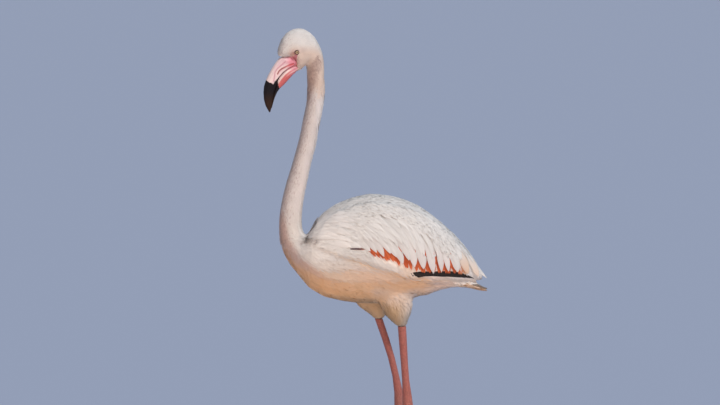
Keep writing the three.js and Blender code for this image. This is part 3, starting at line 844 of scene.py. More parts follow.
# %% Unrolling the bird
MIDDLE_LINE = np.array([
    (-255, -50, 1010), (-240, -40, 1060), (-205, -22, 1112), (-165, -8, 1132), (-136, 0, 1095),
    (-134, 0, 1040), (-145, 0, 975), (-165, 0, 890), (-185, 0, 800), (-193, 0, 730), (-175, 0, 680),
    (-130, 0, 665), (-60, 0, 672), (20, 0, 672), (90, 0, 660), (160, 0, 635), (255, 0, 585),
]) * MM
LEG_LINES = {
    side: np.array([box_centre(part + side) for part in ("thigh_", "tibia_", "hock_", "tarsus_", "foot_")])
    for side, _ in SIDES
}


def unroll_about(points, line):
    """Distance along a line of points and angle round it, both from 0 to 1."""
    best = np.full(len(points), np.inf)
    along = np.zeros(len(points))
    angle = np.zeros(len(points))
    lengths = np.linalg.norm(np.diff(line, axis=0), axis=1)
    starts = np.concatenate([[0.0], np.cumsum(lengths)])
    for i, length in enumerate(lengths):
        axis = (line[i + 1] - line[i]) / length
        share = np.clip((points - line[i]) @ axis / length, 0.0, 1.0)
        away = points - (line[i] + share[:, None] * length * axis)
        distance = (away ** 2).sum(axis=1)
        nearer = distance < best
        best = np.where(nearer, distance, best)
        along = np.where(nearer, (starts[i] + share * length) / starts[-1], along)
        upper = unit(np.cross(np.array([0.0, 1.0, 0.0]), axis))
        turn = np.arctan2(away[:, 1], away @ upper) / (2.0 * math.pi) + 0.5
        angle = np.where(nearer, turn, angle)
    return along, angle


def body_place(points):
    along, angle = unroll_about(points, MIDDLE_LINE)
    return np.stack([0.01 + 0.80 * along, 0.01 + 0.97 * angle], axis=1)


def leg_place(points, side):
    along, angle = unroll_about(points, LEG_LINES[side])
    base = 0.01 if side == "left" else 0.51
    return np.stack([0.83 + 0.15 * angle, base + 0.47 * along], axis=1)


print("the trunk's middle on the map:", body_place(box_centre("trunk")[None])[0].round(3))

# %% [markdown]
# ## How a feather is made
# A feather is a strip: a middle line that hugs the body, and a few columns of points on both sides of it. It
# starts in the skin, rises a little towards its tip so that it overlaps the next one, is cupped like a roof
# tile and rolls slightly to one side. Each column ends at its own length, which makes the tip ragged.

# %% Middle lines of feathers
def comb(roots, normals, lengths, steps, surface, stray, seed):
    """Middle lines that follow the lie of the coat over a surface: points and normals, (n, steps + 1, 3)."""
    rng = np.random.default_rng(seed)
    sway = rng.normal(0.0, stray, len(roots))[:, None]
    line, upright = [roots], [normals]
    place, normal = roots, normals
    for _ in range(steps):
        forward = lie_of_coat(place, normal)
        across = np.cross(normal, forward)
        heading = unit(forward + across * sway)
        place, normal = surface.nearest(place + heading * (lengths / steps)[:, None])
        line.append(place)
        upright.append(normal)
    return np.stack(line, axis=1), unit(np.stack(upright, axis=1))


def resample(line, count):
    """The same middle lines with count points each."""
    old = np.linspace(0.0, 1.0, line.shape[1])
    new = np.linspace(0.0, 1.0, count)
    index = np.clip(np.searchsorted(old, new, side="right") - 1, 0, len(old) - 2)
    share = ((new - old[index]) / (old[index + 1] - old[index]))[None, :, None]
    return line[:, index] * (1.0 - share) + line[:, index + 1] * share


flank_root = body_surface.nearest(np.array([[0.0, -0.09, 0.65]]))
example = comb(*flank_root, np.array([0.04]), 4, body_surface, 0.0, 1)[0]
print("a feather of 40 mm reaches back", round(float(example[0, -1, 0] - example[0, 0, 0]) / MM), "mm")

# %% [markdown]
# ## From lines to strips
# All feathers of one kind have the same number of points, so one calculation lays thousands of them. Their
# shading normals are turned towards the body's own, so that light falls on the coat as on down.

# %% Feather strips
RIDGE_WIDTH = 0.13  # of a shaft, as a share of the half width


def strips(line, upright, widths, outline, columns, rise, cup, roll, ragged=0.0, ridge=0.0, seed=0):
    """Vertices (n, rows, columns, 3) of feathers along their middle lines.

    widths is the half width of each feather, outline the share of it along the feather, columns the places
    across it from -1 to 1, rise the height over the line at root and tip (numbers or one for each feather),
    and roll the tilt of each feather.
    """
    rng = np.random.default_rng(seed)
    count, rows = line.shape[:2]
    tangent = unit(np.gradient(line, axis=1))
    upright = unit(upright - tangent * (upright * tangent).sum(axis=-1, keepdims=True))
    across = np.cross(upright, tangent)
    along = np.linspace(0.0, 1.0, rows)
    outline = np.interp(along, np.linspace(0.0, 1.0, len(outline)), outline)
    columns = np.asarray(columns, dtype=float)
    half = widths[:, None, None] * outline[None, :, None]
    side = half * columns
    root, tip = (np.broadcast_to(end, count)[:, None, None] for end in rise)
    height = root + (tip - root) * along[None, :, None] + np.zeros_like(side)
    height = height - cup * half * columns ** 2 + roll[:, None, None] * side
    height = height + ridge * np.exp(-((columns / RIDGE_WIDTH) ** 2))[None, None, :]
    shorter = rng.uniform(0.0, ragged, (count, len(columns)))
    length = np.linalg.norm(line[:, -1] - line[:, 0], axis=1)
    pull = (shorter[:, None, :] * smooth(along, 0.35, 1.0)[None, :, None]) * length[:, None, None]
    return (
        line[:, :, None, :] + across[:, :, None, :] * side[..., None]
        + upright[:, :, None, :] * height[..., None] - tangent[:, :, None, :] * pull[..., None]
    )


def grid_faces(count, rows, columns):
    """Quads of many grids of rows by columns points, laid one after another."""
    cell = np.arange(rows * columns).reshape(rows, columns)
    quads = np.stack([cell[:-1, :-1], cell[1:, :-1], cell[1:, 1:], cell[:-1, 1:]], axis=-1).reshape(-1, 4)
    return (quads[None] + (np.arange(count) * rows * columns)[:, None, None]).reshape(-1, 4)


def softened(grids, upright, softness):
    """Shading normals of feathers, turned by a share towards the body's own, so that the coat looks downy."""
    own = unit(np.cross(np.gradient(grids, axis=1), np.gradient(grids, axis=2)))
    return unit(own * (1.0 - softness) + upright[:, :, None] * softness)


print("quads of a feather with 5 rows and 5 columns:", len(grid_faces(1, 5, 5)))

# %% [markdown]
# ## Joining and scattering
# The feathers of one kind become one mesh. Roots are scattered at random over the skin and then thinned so
# that each small cell keeps one: even enough to hide the skin, uneven enough to look grown.

# %% Coat pieces and roots
TUFT_PATCH = 0.003  # a feather's own place on the flat map
CELL_HASH = np.array([73856093, 19349663, 83492791])  # large primes that give each small cell its own number
CROWDING = 3.0  # roots thrown for each one that is kept, about


def coat_piece(name, grids, tints, places, nodes, material, normals=None):
    """One joined mesh of many feathers. grids and tints are (n, rows, columns, 3), places their UV roots."""
    count, rows, columns = grids.shape[:3]
    faces = grid_faces(count, rows, columns)
    patch = np.zeros((count, rows, columns, 2))
    patch[..., 0] = places[:, 0, None, None] + TUFT_PATCH * np.linspace(0.0, 1.0, rows)[None, :, None]
    patch[..., 1] = places[:, 1, None, None] + TUFT_PATCH * np.linspace(0.0, 1.0, columns)[None, None, :]
    normals = None if normals is None else normals.reshape(-1, 3)
    piece = make_mesh(name, grids.reshape(-1, 3), faces, tints.reshape(-1, 3), patch.reshape(-1, 2), normals)
    piece.data.materials.append(material)
    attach(piece, "root")
    PIECES.append(piece)
    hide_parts(*nodes)
    print(name, "feathers:", count, "triangles:", len(faces) * 2)
    return piece


def scatter(surface, spacing, wanted, seed):
    """Roots spread evenly over a surface where wanted(points, normals) is true, about spacing apart."""
    rng = np.random.default_rng(seed)
    corners = surface.verts[surface.tris]
    cross = np.cross(corners[:, 1] - corners[:, 0], corners[:, 2] - corners[:, 0])
    areas = np.linalg.norm(cross, axis=1) / 2.0
    areas = areas * wanted(corners.mean(axis=1), surface.face_normals)
    count = int(CROWDING * areas.sum() / spacing ** 2)
    pick = rng.choice(len(areas), size=count, p=areas / areas.sum())
    a, b = rng.random((2, count))
    flip = a + b > 1.0
    a, b = np.where(flip, 1.0 - a, a), np.where(flip, 1.0 - b, b)
    picked = corners[pick]
    first_edge, second_edge = picked[:, 1] - picked[:, 0], picked[:, 2] - picked[:, 0]
    points = picked[:, 0] + first_edge * a[:, None] + second_edge * b[:, None]
    cells = np.floor(points / spacing).astype(np.int64)
    _, first = np.unique(cells @ CELL_HASH, return_index=True)
    first = np.sort(first)
    return points[first], surface.face_normals[pick][first]


crown = scatter(head_surface, 2.0 * MM, lambda p, n: p[:, 2] > 1.14, 1)[0]
print("roots 2 mm apart on the crown:", len(crown))

# %% [markdown]
# ## Materials
# Skin and vanes are matt. Their colour comes from the marking function through the tint attribute, broken up
# by fine noise, and a fine bump stands for wrinkles and barbs.

# %% Feather and skin materials
def new_material(name, roughness, specular):
    material = bpy.data.materials.new(name)
    material.use_nodes = True
    shader = material.node_tree.nodes["Principled BSDF"]
    shader.inputs["Roughness"].default_value = roughness
    shader.inputs["Specular IOR Level"].default_value = specular
    return material, material.node_tree, shader


def link(tree, a, output, b, socket):
    tree.links.new(a.outputs[output], b.inputs[socket])


def noise(tree, scale, detail, roughness=0.6):
    coordinates = tree.nodes.new("ShaderNodeTexCoord")
    texture = tree.nodes.new("ShaderNodeTexNoise")
    texture.inputs["Scale"].default_value = scale
    texture.inputs["Detail"].default_value = detail
    texture.inputs["Roughness"].default_value = roughness
    link(tree, coordinates, "Object", texture, "Vector")
    return texture


def tinted(tree, shader, scale, low, high):
    """Colour from the tint attribute, lightened and darkened between two factors by noise."""
    tint = tree.nodes.new("ShaderNodeAttribute")
    tint.attribute_name = COLOUR_LAYER
    texture = noise(tree, scale, 3.0)
    spread = tree.nodes.new("ShaderNodeMapRange")
    spread.inputs["To Min"].default_value = low
    spread.inputs["To Max"].default_value = high
    link(tree, texture, "Fac", spread, "Value")
    scaled = tree.nodes.new("ShaderNodeVectorMath")
    scaled.operation = "SCALE"
    link(tree, tint, "Color", scaled, 0)
    link(tree, spread, "Result", scaled, "Scale")
    link(tree, scaled, "Vector", shader, "Base Color")
    return scaled


def bumped(tree, shader, texture, strength, distance):
    bump = tree.nodes.new("ShaderNodeBump")
    bump.inputs["Strength"].default_value = strength
    bump.inputs["Distance"].default_value = distance
    link(tree, texture, "Fac", bump, "Height")
    link(tree, bump, "Normal", shader, "Normal")


def skin_material():
    """Matt bare skin, finely wrinkled."""
    material, tree, shader = new_material("skin", 0.6, 0.35)
    tinted(tree, shader, 700.0, 0.85, 1.1)
    bumped(tree, shader, noise(tree, 1500.0, 4.0), 0.35, 0.0005)
    return material


SKIN = skin_material()
print("nodes of the skin:", [node.name for node in SKIN.node_tree.nodes])

# %% [markdown]
# ## Light through a vane
# A vane held against the sky glows. A translucent shader, mixed in by a small share, passes that light on to
# the feathers behind, and the coat loses the hard shadows of a pile of plates.

# %% Plumage materials
def plumage_material(name, roughness, sheen, glow):
    """glow is the share of light that passes through a vane."""
    material, tree, shader = new_material(name, roughness, 0.25)
    shader.inputs["Sheen Weight"].default_value = sheen
    shader.inputs["Sheen Roughness"].default_value = 0.5
    colour = tinted(tree, shader, 900.0, 0.93, 1.06)
    bumped(tree, shader, noise(tree, 1800.0, 2.0), 0.25, 0.0006)
    through = tree.nodes.new("ShaderNodeBsdfTranslucent")
    link(tree, colour, "Vector", through, "Color")
    blend = tree.nodes.new("ShaderNodeMixShader")
    blend.inputs["Fac"].default_value = glow
    link(tree, shader, "BSDF", blend, 1)
    link(tree, through, "BSDF", blend, 2)
    link(tree, blend, "Shader", tree.nodes["Material Output"], "Surface")
    return material


PLUMAGE = plumage_material("plumage", 0.78, 0.25, 0.28)
REMIGES_BLACK = plumage_material("remiges_black", 0.5, 0.1, 0.1)
print("plumage materials:", PLUMAGE.name, REMIGES_BLACK.name)

# %% [markdown]
# ## Where each kind of feather grows
# Seen from the side, the folded wing has three bands along its lower edge: the pointed tips of long white
# feathers, the orange-red coverts between and under them, and the black flight feathers. Their places are a
# few points each, in millimetres in the side view, and both sides of the bird share them.

# %% Side-view outlines of the wing's parts
FRINGE = np.array([  # the tips of the longest white feathers, from the front to the wing tip
    (-54, 676), (-31, 674), (-12, 665), (4, 662), (20, 653), (36, 660), (49, 652), (63, 636), (77, 645),
    (90, 629), (111, 626), (132, 616), (151, 618), (168, 621), (188, 618), (213, 614), (235, 608), (254, 603),
]) * MM
COVERT_EDGE = np.array([  # where the red coverts under them end
    (-32, 671), (-16, 659), (8, 650), (32, 641), (57, 632), (80, 624), (97, 618), (118, 616), (142, 615),
    (168, 615), (195, 613), (212, 609),
]) * MM
BLACK_BAND = np.array([  # middle of the strip of black flight feathers
    (61, 602.5), (76, 607), (92, 610.5), (116, 613.5), (140, 613.5), (171, 612), (197, 608.5), (210, 605),
]) * MM
LONG_FEATHER_ZONE = np.array([  # the patch of the folded wing that the long feathers cover
    (-30, 674), (-50, 700), (-40, 738), (0, 762), (50, 752), (105, 722), (165, 672), (215, 622), (238, 602),
    (217, 599), (197, 603), (171, 606), (140, 607), (116, 607), (94, 609), (80, 621), (57, 630), (32, 639),
    (8, 648), (-16, 657),
]) * MM


def in_outline(points, outline):
    return inside(side_view(points), outline)


def on_neck(points):
    return (points[:, 2] > 0.69) & (points[:, 0] < -0.135)


def on_thigh(points):
    return points[:, 2] < 0.548


def on_tail(points):
    return (points[:, 0] > 0.200) & (points[:, 2] < 0.602)


def on_trunk(points):
    covered = on_neck(points) | on_thigh(points) | on_tail(points)
    return ~covered & ~in_outline(points, LONG_FEATHER_ZONE)


print("share of the skin under small trunk feathers:", round(float(on_trunk(body_surface.verts).mean()), 2))

# %% [markdown]
# ## The contour feathers
# The trunk wears slim feathers whose loose tips blend into one another, so that the breast looks like brushed
# silk rather than scales. They shorten towards neck and thighs, and are left out where the long feathers of
# the folded wing hide them.

# %% Sizes and shades of small feathers
VANE_COLUMNS = (-1.0, -0.5, 0.0, 0.5, 1.0)
TUFT_COLUMNS = (-1.0, 0.0, 1.0)
ROUNDED = (0.35, 0.85, 1.0, 0.85, 0.30)


def shaded(base, rows, columns, root_shade, tip_light, edge_shade):
    """A tint for every vertex: darker at the root, lighter towards the tip, darker along the edges."""
    along = np.linspace(0.0, 1.0, rows)[None, :, None, None]
    across = np.abs(np.asarray(columns))[None, None, :, None]
    factor = root_shade + (tip_light - root_shade) * along
    return np.clip(base[:, None, None, :] * factor * (1.0 - edge_shade * across ** 3), 0.0, 1.0)


def feather_size(points):
    """Feathers shorten from the breast towards the neck and the thighs."""
    near_neck = smooth(points[:, 2], 0.60, 0.72) * (1.0 - smooth(points[:, 0], -0.16, -0.10))
    near_thigh = (1.0 - smooth(points[:, 2], 0.55, 0.60)) * smooth(points[:, 0], -0.08, -0.03)
    near_thigh = near_thigh * (1.0 - smooth(points[:, 0], 0.08, 0.12))
    return 1.0 - 0.55 * near_neck * (points[:, 2] < 1.0) - 0.3 * near_thigh


sizes = feather_size(body_surface.verts)
print("sizes of graded feathers:", round(float(sizes.min()), 2), "to", round(float(sizes.max()), 2))

# %% [markdown]
# ## Growing a coat
# One function grows every coat of small feathers: it scatters roots, combs each feather, drops the few that
# would cross the air between the wings' tips and the tail, and gives each its own size, tilt and shade. Large
# coats are cut into pieces from front to back.

# %% A coat of small feathers
PIECE_LIMIT = 190000  # triangles in one joined mesh
PATH_POINTS = 12
FLECKED_SHARE, FLECK_STRENGTH = 0.30, 0.32  # of the neck's front
REAR_GAP = np.array([  # no feather may cross the air between the wings' tips and the tail
    (230, 596), (236, 599.5), (250, 602), (262, 601), (262, 588), (246, 590.5), (236, 593.5),
]) * MM


def small_feathers(name, nodes, surface, wanted, seed, spacing, length, half_width, steps=3, rows=5,
                   columns=VANE_COLUMNS, stray=0.10, ragged=0.25, outline=ROUNDED, vary=0.25, cup=0.10,
                   rise=(0.05, 0.95), graded=False, softness=0.65):
    """rise is a share of the coat's depth. graded feathers shorten towards the neck."""
    rng = np.random.default_rng(seed)
    roots, normals = scatter(surface, spacing, wanted, seed)
    size = rng.uniform(1.0 - vary, 1.0 + vary, len(roots))
    if graded:
        size = size * feather_size(roots)
    line, upright = comb(roots, normals, size * length, steps, surface, stray, seed + 1)
    path = resample(line, PATH_POINTS)
    kept = ~in_outline(path.reshape(-1, 3), REAR_GAP).reshape(len(path), -1).any(axis=1)
    roots, normals, size = roots[kept], normals[kept], size[kept]
    line, upright = line[kept], upright[kept]
    line, upright = resample(line, rows), unit(resample(upright, rows))
    roll = rng.normal(0.0, 0.07, len(roots))
    depth = coat_depth(roots)
    lift = (rise[0] * depth, rise[1] * depth * rng.uniform(0.9, 1.08, len(roots)))
    grids = strips(
        line, upright, size * half_width, outline, columns, lift, cup, roll, ragged, seed=seed + 2,
    )
    base = plumage_colour(roots, normals) * rng.uniform(0.975, 1.02, (len(roots), 1))
    chance = FLECKED_SHARE * on_neck(roots) * smooth(-normals[:, 0], -0.35, 0.5)
    flecked = rng.random(len(roots)) < chance
    base = mix(base, NECK_FLECK_AND_SHADE, FLECK_STRENGTH * flecked)
    tints = shaded(base, rows, columns, 0.93, 1.02, 0.02)
    shading = softened(grids, upright, softness)
    places = body_place(roots)
    share = math.ceil(len(roots) * (rows - 1) * (len(columns) - 1) * 2 / PIECE_LIMIT)
    order = np.argsort(roots[:, 0] if share > 1 else np.arange(len(roots)), kind="stable")
    for part, chosen in enumerate(np.array_split(order, share)):
        label = name if share == 1 else f"{name}_{part + 1}"
        coat_piece(label, grids[chosen], tints[chosen], places[chosen], nodes, PLUMAGE, shading[chosen])


print("triangles of one small feather:", 2 * len(grid_faces(1, 5, len(VANE_COLUMNS))))

# %% [markdown]
# ## Trunk, thighs and neck
# The same function grows three coats: long feathers on the trunk, shorter tufts on the thighs down to their
# hem, and the shortest ones on the neck, where they stand up a little more.

# %% Grow the small feathers
HEM_HEIGHT = 0.501  # where the thighs' feathers give way to the bare leg
NECK_TOP = 1.05  # where the head's own feathers take over
small_feathers(
    "coat_trunk", ["trunk"], whole_surface, lambda p, n: on_trunk(p), 11,
    spacing=4.2 * MM, length=28.0 * MM, half_width=3.0 * MM, graded=True, softness=0.8, cup=0.06, stray=0.08,
)
small_feathers(
    "coat_thighs", ["thigh_left", "thigh_right"], whole_surface,
    lambda p, n: on_thigh(p) & (p[:, 2] > HEM_HEIGHT), 21,
    spacing=3.2 * MM, length=19.0 * MM, half_width=1.9 * MM, columns=TUFT_COLUMNS, stray=0.08, softness=0.8,
)
small_feathers(
    "coat_neck", NECK_NODES, whole_surface, lambda p, n: on_neck(p) & (p[:, 2] < NECK_TOP), 31,
    spacing=2.2 * MM, length=8.5 * MM, half_width=1.2 * MM, steps=2, rows=4, columns=TUFT_COLUMNS,
    softness=0.75, rise=(0.10, 1.45),
)

# %% [markdown]
# ## The head's plumage
# The face wears the smallest feathers of all, short and close, and they stop at the bill, round the eye and
# on the bare strip between the two.

# %% Grow the head's feathers
EYE_SPOT = head_view(EYES["left"][None])[0]


def feathered_depth(points):
    """Millimetres from the bare parts of the face, negative on them: lores and a ring round the eye."""
    place = head_view(points)
    ring = np.linalg.norm(place - EYE_SPOT, axis=1) - EYE_RADIUS / MM
    return np.minimum(-depth_inside(place, BARE_OUTLINE), ring)


small_feathers(
    "coat_head", ["head"], head_surface, lambda p, n: (p[:, 2] > 1.04) & (feathered_depth(p) > 0.0), 41,
    spacing=1.7 * MM, length=5.8 * MM, half_width=0.95 * MM, steps=2, rows=4, columns=TUFT_COLUMNS,
    rise=(0.10, 0.80), softness=0.8,
)

# %% [markdown]
# ## The folded wing
# Long feathers hang from the shoulder and the back in curves, row over row, each row hiding the roots of the
# one below. To lay them, points are set along the lower fringe and followed upstream against the lie of the
# coat; every row starts from the same streamlines a little further up. The coverts are laid the same way
# before them but end a little beyond the fringe, so that red shows wherever two white tips part.

# %% Follow the streamlines upstream
def at_arc(outline, distances):
    """Points at given distances along an open outline of (x, z) points."""
    lengths = np.linalg.norm(np.diff(outline, axis=0), axis=1)
    starts = np.concatenate([[0.0], np.cumsum(lengths)])
    return np.stack([np.interp(distances, starts, outline[:, k]) for k in range(2)], axis=1)


def arc_length(outline):
    return np.linalg.norm(np.diff(outline, axis=0), axis=1).sum()


def follow_upstream(points, normals, lengths, steps):
    """Lines over the body against the lie of the coat."""
    line, upright = [points], [normals]
    place, normal = points, normals
    for _ in range(steps):
        heading = -lie_of_coat(place, normal)
        place, normal = body_surface.nearest(place + heading * (lengths / steps)[:, None])
        line.append(place)
        upright.append(normal)
    return np.stack(line, axis=1), np.stack(upright, axis=1)


def even_places(edge, spacing, shift):
    """Distances along an edge, spacing apart."""
    total = arc_length(edge)
    count = int(total / spacing)
    return np.clip((np.arange(count) + 0.5 + shift) / count * total, 0.0, total)


TIP_STAGGER = 0.022  # how far tips stray up or down, for each unit of jitter


def wing_row(out, edge, at, up, length, jitter, seed):
    """Middle lines, from root to tip, of a row of wing feathers with tips at given distances along an edge.

    up moves the tips up the streamlines. The distances are returned as shares of the edge.
    """
    rng = np.random.default_rng(seed)
    total = arc_length(edge)
    count = len(at)
    at = np.clip(at + rng.normal(0.0, jitter, count) * total / count, 0.0, total)
    points, normals = body_surface.from_side(at_arc(edge, at), out)
    up = np.maximum(up + rng.normal(0.0, jitter * TIP_STAGGER, count), 0.0)
    path, path_normals = follow_upstream(points, normals, up, 6)
    lengths = length * rng.uniform(0.92, 1.08, count)
    line, upright = follow_upstream(path[:, -1], path_normals[:, -1], lengths, 12)
    return line[:, ::-1], unit(upright[:, ::-1]), at / total


print("fringe length mm:", round(float(arc_length(FRINGE)) / MM))

# %% [markdown]
# ## Shapes and colours of wing feathers
# A feather's outline is a short list of shares of its half width from root to tip: a lance for the long
# white ones, blunt for coverts, pointed for flight feathers. Coverts are dark red at the root, painted shade
# where the gaps between tips show it, with an orange tip.

# %% Outlines and colours of wing feathers
LANCE = (0.60, 0.90, 1.0, 1.0, 1.0, 1.0, 0.98, 0.90, 0.74, 0.52, 0.10)
STREAK = (0.60, 0.90, 1.0, 1.0, 1.0, 0.96, 0.88, 0.76, 0.60, 0.38, 0.06)
POINTED = (0.5, 0.8, 1.0, 1.0, 1.0, 0.95, 0.85, 0.7, 0.5, 0.28, 0.04)
BROAD = (0.55, 0.9, 1.0, 1.0, 0.98, 0.95, 0.9, 0.8, 0.62, 0.3)
LONG_COLUMNS = (-1.0, -0.66, -0.33, -0.06, 0.06, 0.33, 0.66, 1.0)
WING_ROWS = 14
ORANGE = np.array([0.86, 0.215, 0.075])
DARK_RED = np.array([0.33, 0.035, 0.016])
PEACH = np.array([0.88, 0.58, 0.37])
REMIGES = np.array([0.022, 0.017, 0.014])


def wing_feathers(name, rows, half_width, outline, rise, colour, material, seed, ragged=0.06, cup=0.13,
                  tilt=0.07, softness=0.35):
    """One joined mesh from several rows. colour(share, line) gives root and tip colours.

    half_width is one number, or one for each feather of a row.
    """
    rng = np.random.default_rng(seed)
    line = resample(np.concatenate([row[0] for row in rows]), WING_ROWS)
    upright = unit(resample(np.concatenate([row[1] for row in rows]), WING_ROWS))
    share = np.concatenate([row[2] for row in rows])
    side = np.sign(line[:, 0, 1])
    count = len(line)
    widths = np.tile(np.atleast_1d(half_width), count // np.size(half_width))
    widths = widths * rng.uniform(0.92, 1.08, count)
    roll = tilt * side + rng.normal(0.0, 0.03, count)
    grids = strips(
        line, upright, widths, outline, LONG_COLUMNS, rise, cup, roll, ragged, ridge=0.25 * MM, seed=seed + 1,
    )
    root_colour, tip_colour = colour(share, line)
    along = np.linspace(0.0, 1.0, WING_ROWS)[None, :, None]
    tints = root_colour[:, None] * (1.0 - along ** 1.5) + tip_colour[:, None] * along ** 1.5
    tints = np.repeat(tints[:, :, None], len(LONG_COLUMNS), axis=2)
    tints = tints * rng.uniform(0.95, 1.03, (count, 1, 1, 1))
    # painted shade: each vane is drawn darker towards its edges, where the next feathers lie over it
    across = np.abs(np.array(LONG_COLUMNS))[None, None, :, None]
    tints = np.clip(tints * (1.0 - 0.10 * across ** 3), 0.0, 1.0)
    shading = softened(grids, upright, softness)
    nodes = ["wing_left", "wing_right"]
    return coat_piece(name, grids, tints, body_place(line[:, 0]), nodes, material, shading)


def white_vanes(share, line):
    root = plumage_colour(line[:, 0], np.tile([0.0, 0.0, 1.0], (len(line), 1)))
    # painted shade and light: the root, under the feathers above, is drawn a little darker and the tip a
    # little lighter
    return root * 0.97, root * 1.04


def fringe_vanes(share, line):
    root, tip = white_vanes(share, line)
    peach = smooth(share, 0.80, 0.87) * (1.0 - smooth(share, 0.93, 0.97))
    return root, mix(tip, PEACH, 0.8 * peach)


def covert_colours(share, line):
    rng = np.random.default_rng(77)
    tip = mix(np.tile(ORANGE, (len(line), 1)), DARK_RED, rng.uniform(0.0, 0.5, len(line)))
    tip = mix(tip, PEACH, 0.9 * smooth(share, 0.90, 1.0))
    # painted shade: the roots, which show in the gaps between tips, are drawn dark red
    return np.tile(DARK_RED, (len(line), 1)), tip


def black_vanes(share, line):
    black = np.tile(REMIGES, (len(line), 1))
    return black, black * 1.2


print("points in a wing feather:", WING_ROWS * len(LONG_COLUMNS))

# %% [markdown]
# ## Laying the wing
# The rows are laid from below upwards: coverts first, then one long feather for each tip of the fringe, and
# then row over row of white ones. The last feathers of each wing stand clear of the body, so their outer
# halves are led straight to a tip in the air.

# %% Lay the coverts and the long white feathers
WHITE_ROWS = (  # how far up the streamlines the tips lie, the feathers' length, half width and spacing
    (36, 92, 9.0, 13.0), (58, 88, 8.5, 12.5), (82, 84, 8.0, 12.0), (106, 76, 7.5, 11.5), (130, 70, 7.0, 11.0),
    (152, 62, 6.5, 10.5),
)
COVERT_ROWS = (40, 27, 15, 6, 0)  # how far up the streamlines the tips lie
WING_TIPS = np.array([(257, 603.5), (252, 607), (247, 610.5), (240, 613.5)]) * MM
WING_TIP_RUN = np.array([-42.0, 46.0]) * MM  # from a tip back to its root, in the side view
WING_TIP_OUT = 0.004  # a tip's distance from the bird's middle plane


def both_wings(*args, **options):
    return [wing_row(out, *args, **options) for _, out in SIDES]


def wing_tips():
    """The last white feathers of each wing, whose points stand clear of the body."""
    back = np.linspace(1.0, 0.0, 9)
    shape = (len(WING_TIPS), len(back), 3)
    rows = []
    for _, out in SIDES:
        side = WING_TIPS[:, None] + back[None, :, None] * WING_TIP_RUN
        points, normals = body_surface.from_side(side.reshape(-1, 2), out)
        points, normals = points.reshape(shape), normals.reshape(shape)
        free = np.stack([side[..., 0], np.full(shape[:2], out * WING_TIP_OUT), side[..., 1]], axis=-1)
        clear = (1.0 - smooth(back, 0.05, 0.40))[None, :, None]
        points = points * (1.0 - clear) + free * clear
        normals = unit(normals * (1.0 - clear) + np.array([0.0, out, 0.3]) * clear)
        rows.append((points, normals, np.zeros(len(WING_TIPS))))
    return rows


def build_wings():
    coverts = []
    for number, up in enumerate(COVERT_ROWS):
        at = even_places(COVERT_EDGE, 9.0 * MM, 0.5 * (number % 2))
        coverts += both_wings(COVERT_EDGE, at, up * MM, 48.0 * MM, 0.2, 61 + number)
    wing_feathers(
        "coverts", coverts, 5.4 * MM, BROAD, (0.6 * MM, 2.4 * MM), covert_colours, PLUMAGE, 64, ragged=0.12,
    )
    at = np.concatenate([[0.0], np.cumsum(np.linalg.norm(np.diff(FRINGE, axis=0), axis=1))])
    row = both_wings(FRINGE, at, 0.0, 95.0 * MM, 0.02, 70)
    apart = np.gradient(at)
    wing_feathers(
        "tertials", row, 0.57 * np.clip(apart, 15 * MM, 26 * MM), LANCE, (1.0 * MM, 4.4 * MM), fringe_vanes,
        PLUMAGE, 79, ragged=0.04,
    )
    wing_feathers(
        "wing_tips", wing_tips(), 5.5 * MM, POINTED, (0.8 * MM, 3.6 * MM), white_vanes, PLUMAGE, 99,
        ragged=0.03,
    )
    for number, (up, length, half_width, spacing) in enumerate(WHITE_ROWS):
        at = even_places(FRINGE, spacing * MM, 0.5 * (number % 2))
        row = both_wings(FRINGE, at, up * MM, length * MM, 0.22, 71 + number)
        wing_feathers(
            f"scapulars_{number + 1}", row, half_width * MM, STREAK, (1.0 * MM, 4.2 * MM), white_vanes,
            PLUMAGE, 81 + number, ragged=0.04, softness=0.55,
        )


build_wings()

# %% [markdown]
# ## The gap in front of the coverts
# Where the coverts begin, the gap between white feathers lies in shade, and a few dark slim feathers stand for
# that painted shade, their tips turning to the coverts' dark red. Three on each side are enough.

# %% Lay the gap's dark feathers
# painted shade: the colour of the dark feathers that fill the shaded gap
GAP_SHADE_MAUVE = (0.17, 0.12, 0.13)
GAP_TIPS = np.array([(-34, 671.5), (-27, 671.5), (-22, 671)]) * MM
GAP_RUN = np.array([-24.0, 0.5]) * MM  # from a tip back to its root


def gap_shade_colours(share, line):
    mauve = np.tile(GAP_SHADE_MAUVE, (len(line), 1))
    return mauve, mix(mauve, DARK_RED, share)


def build_gap():
    rows = []
    for _, out in SIDES:
        steps = np.linspace(0.0, 1.0, 7)
        side = GAP_TIPS[:, None] + (1.0 - steps)[None, :, None] * GAP_RUN
        points, normals = body_surface.from_side(side.reshape(-1, 2), out)
        rows.append((points.reshape(3, 7, 3), normals.reshape(3, 7, 3), np.array([0.0, 0.5, 1.0])))
    wing_feathers(
        "gap_shade_feathers", rows, 1.9 * MM, POINTED, (3.2 * MM, 4.4 * MM), gap_shade_colours, PLUMAGE, 89,
        cup=0.0, tilt=0.0,
    )


build_gap()

# %% [markdown]
# ## The black flight feathers
# Under the coverts the closed flight feathers show as a thin black strip. They are long and narrow, run
# towards the tail, and lie deeper than everything above them.

# %% Lay the flight feathers
FLIGHT_COUNT = 13  # that show on each side
FLIGHT_LENGTH = 72.0 * MM  # of the part that shows
FLIGHT_DROP = 4.0 * MM  # how far the tips lie below the roots' line


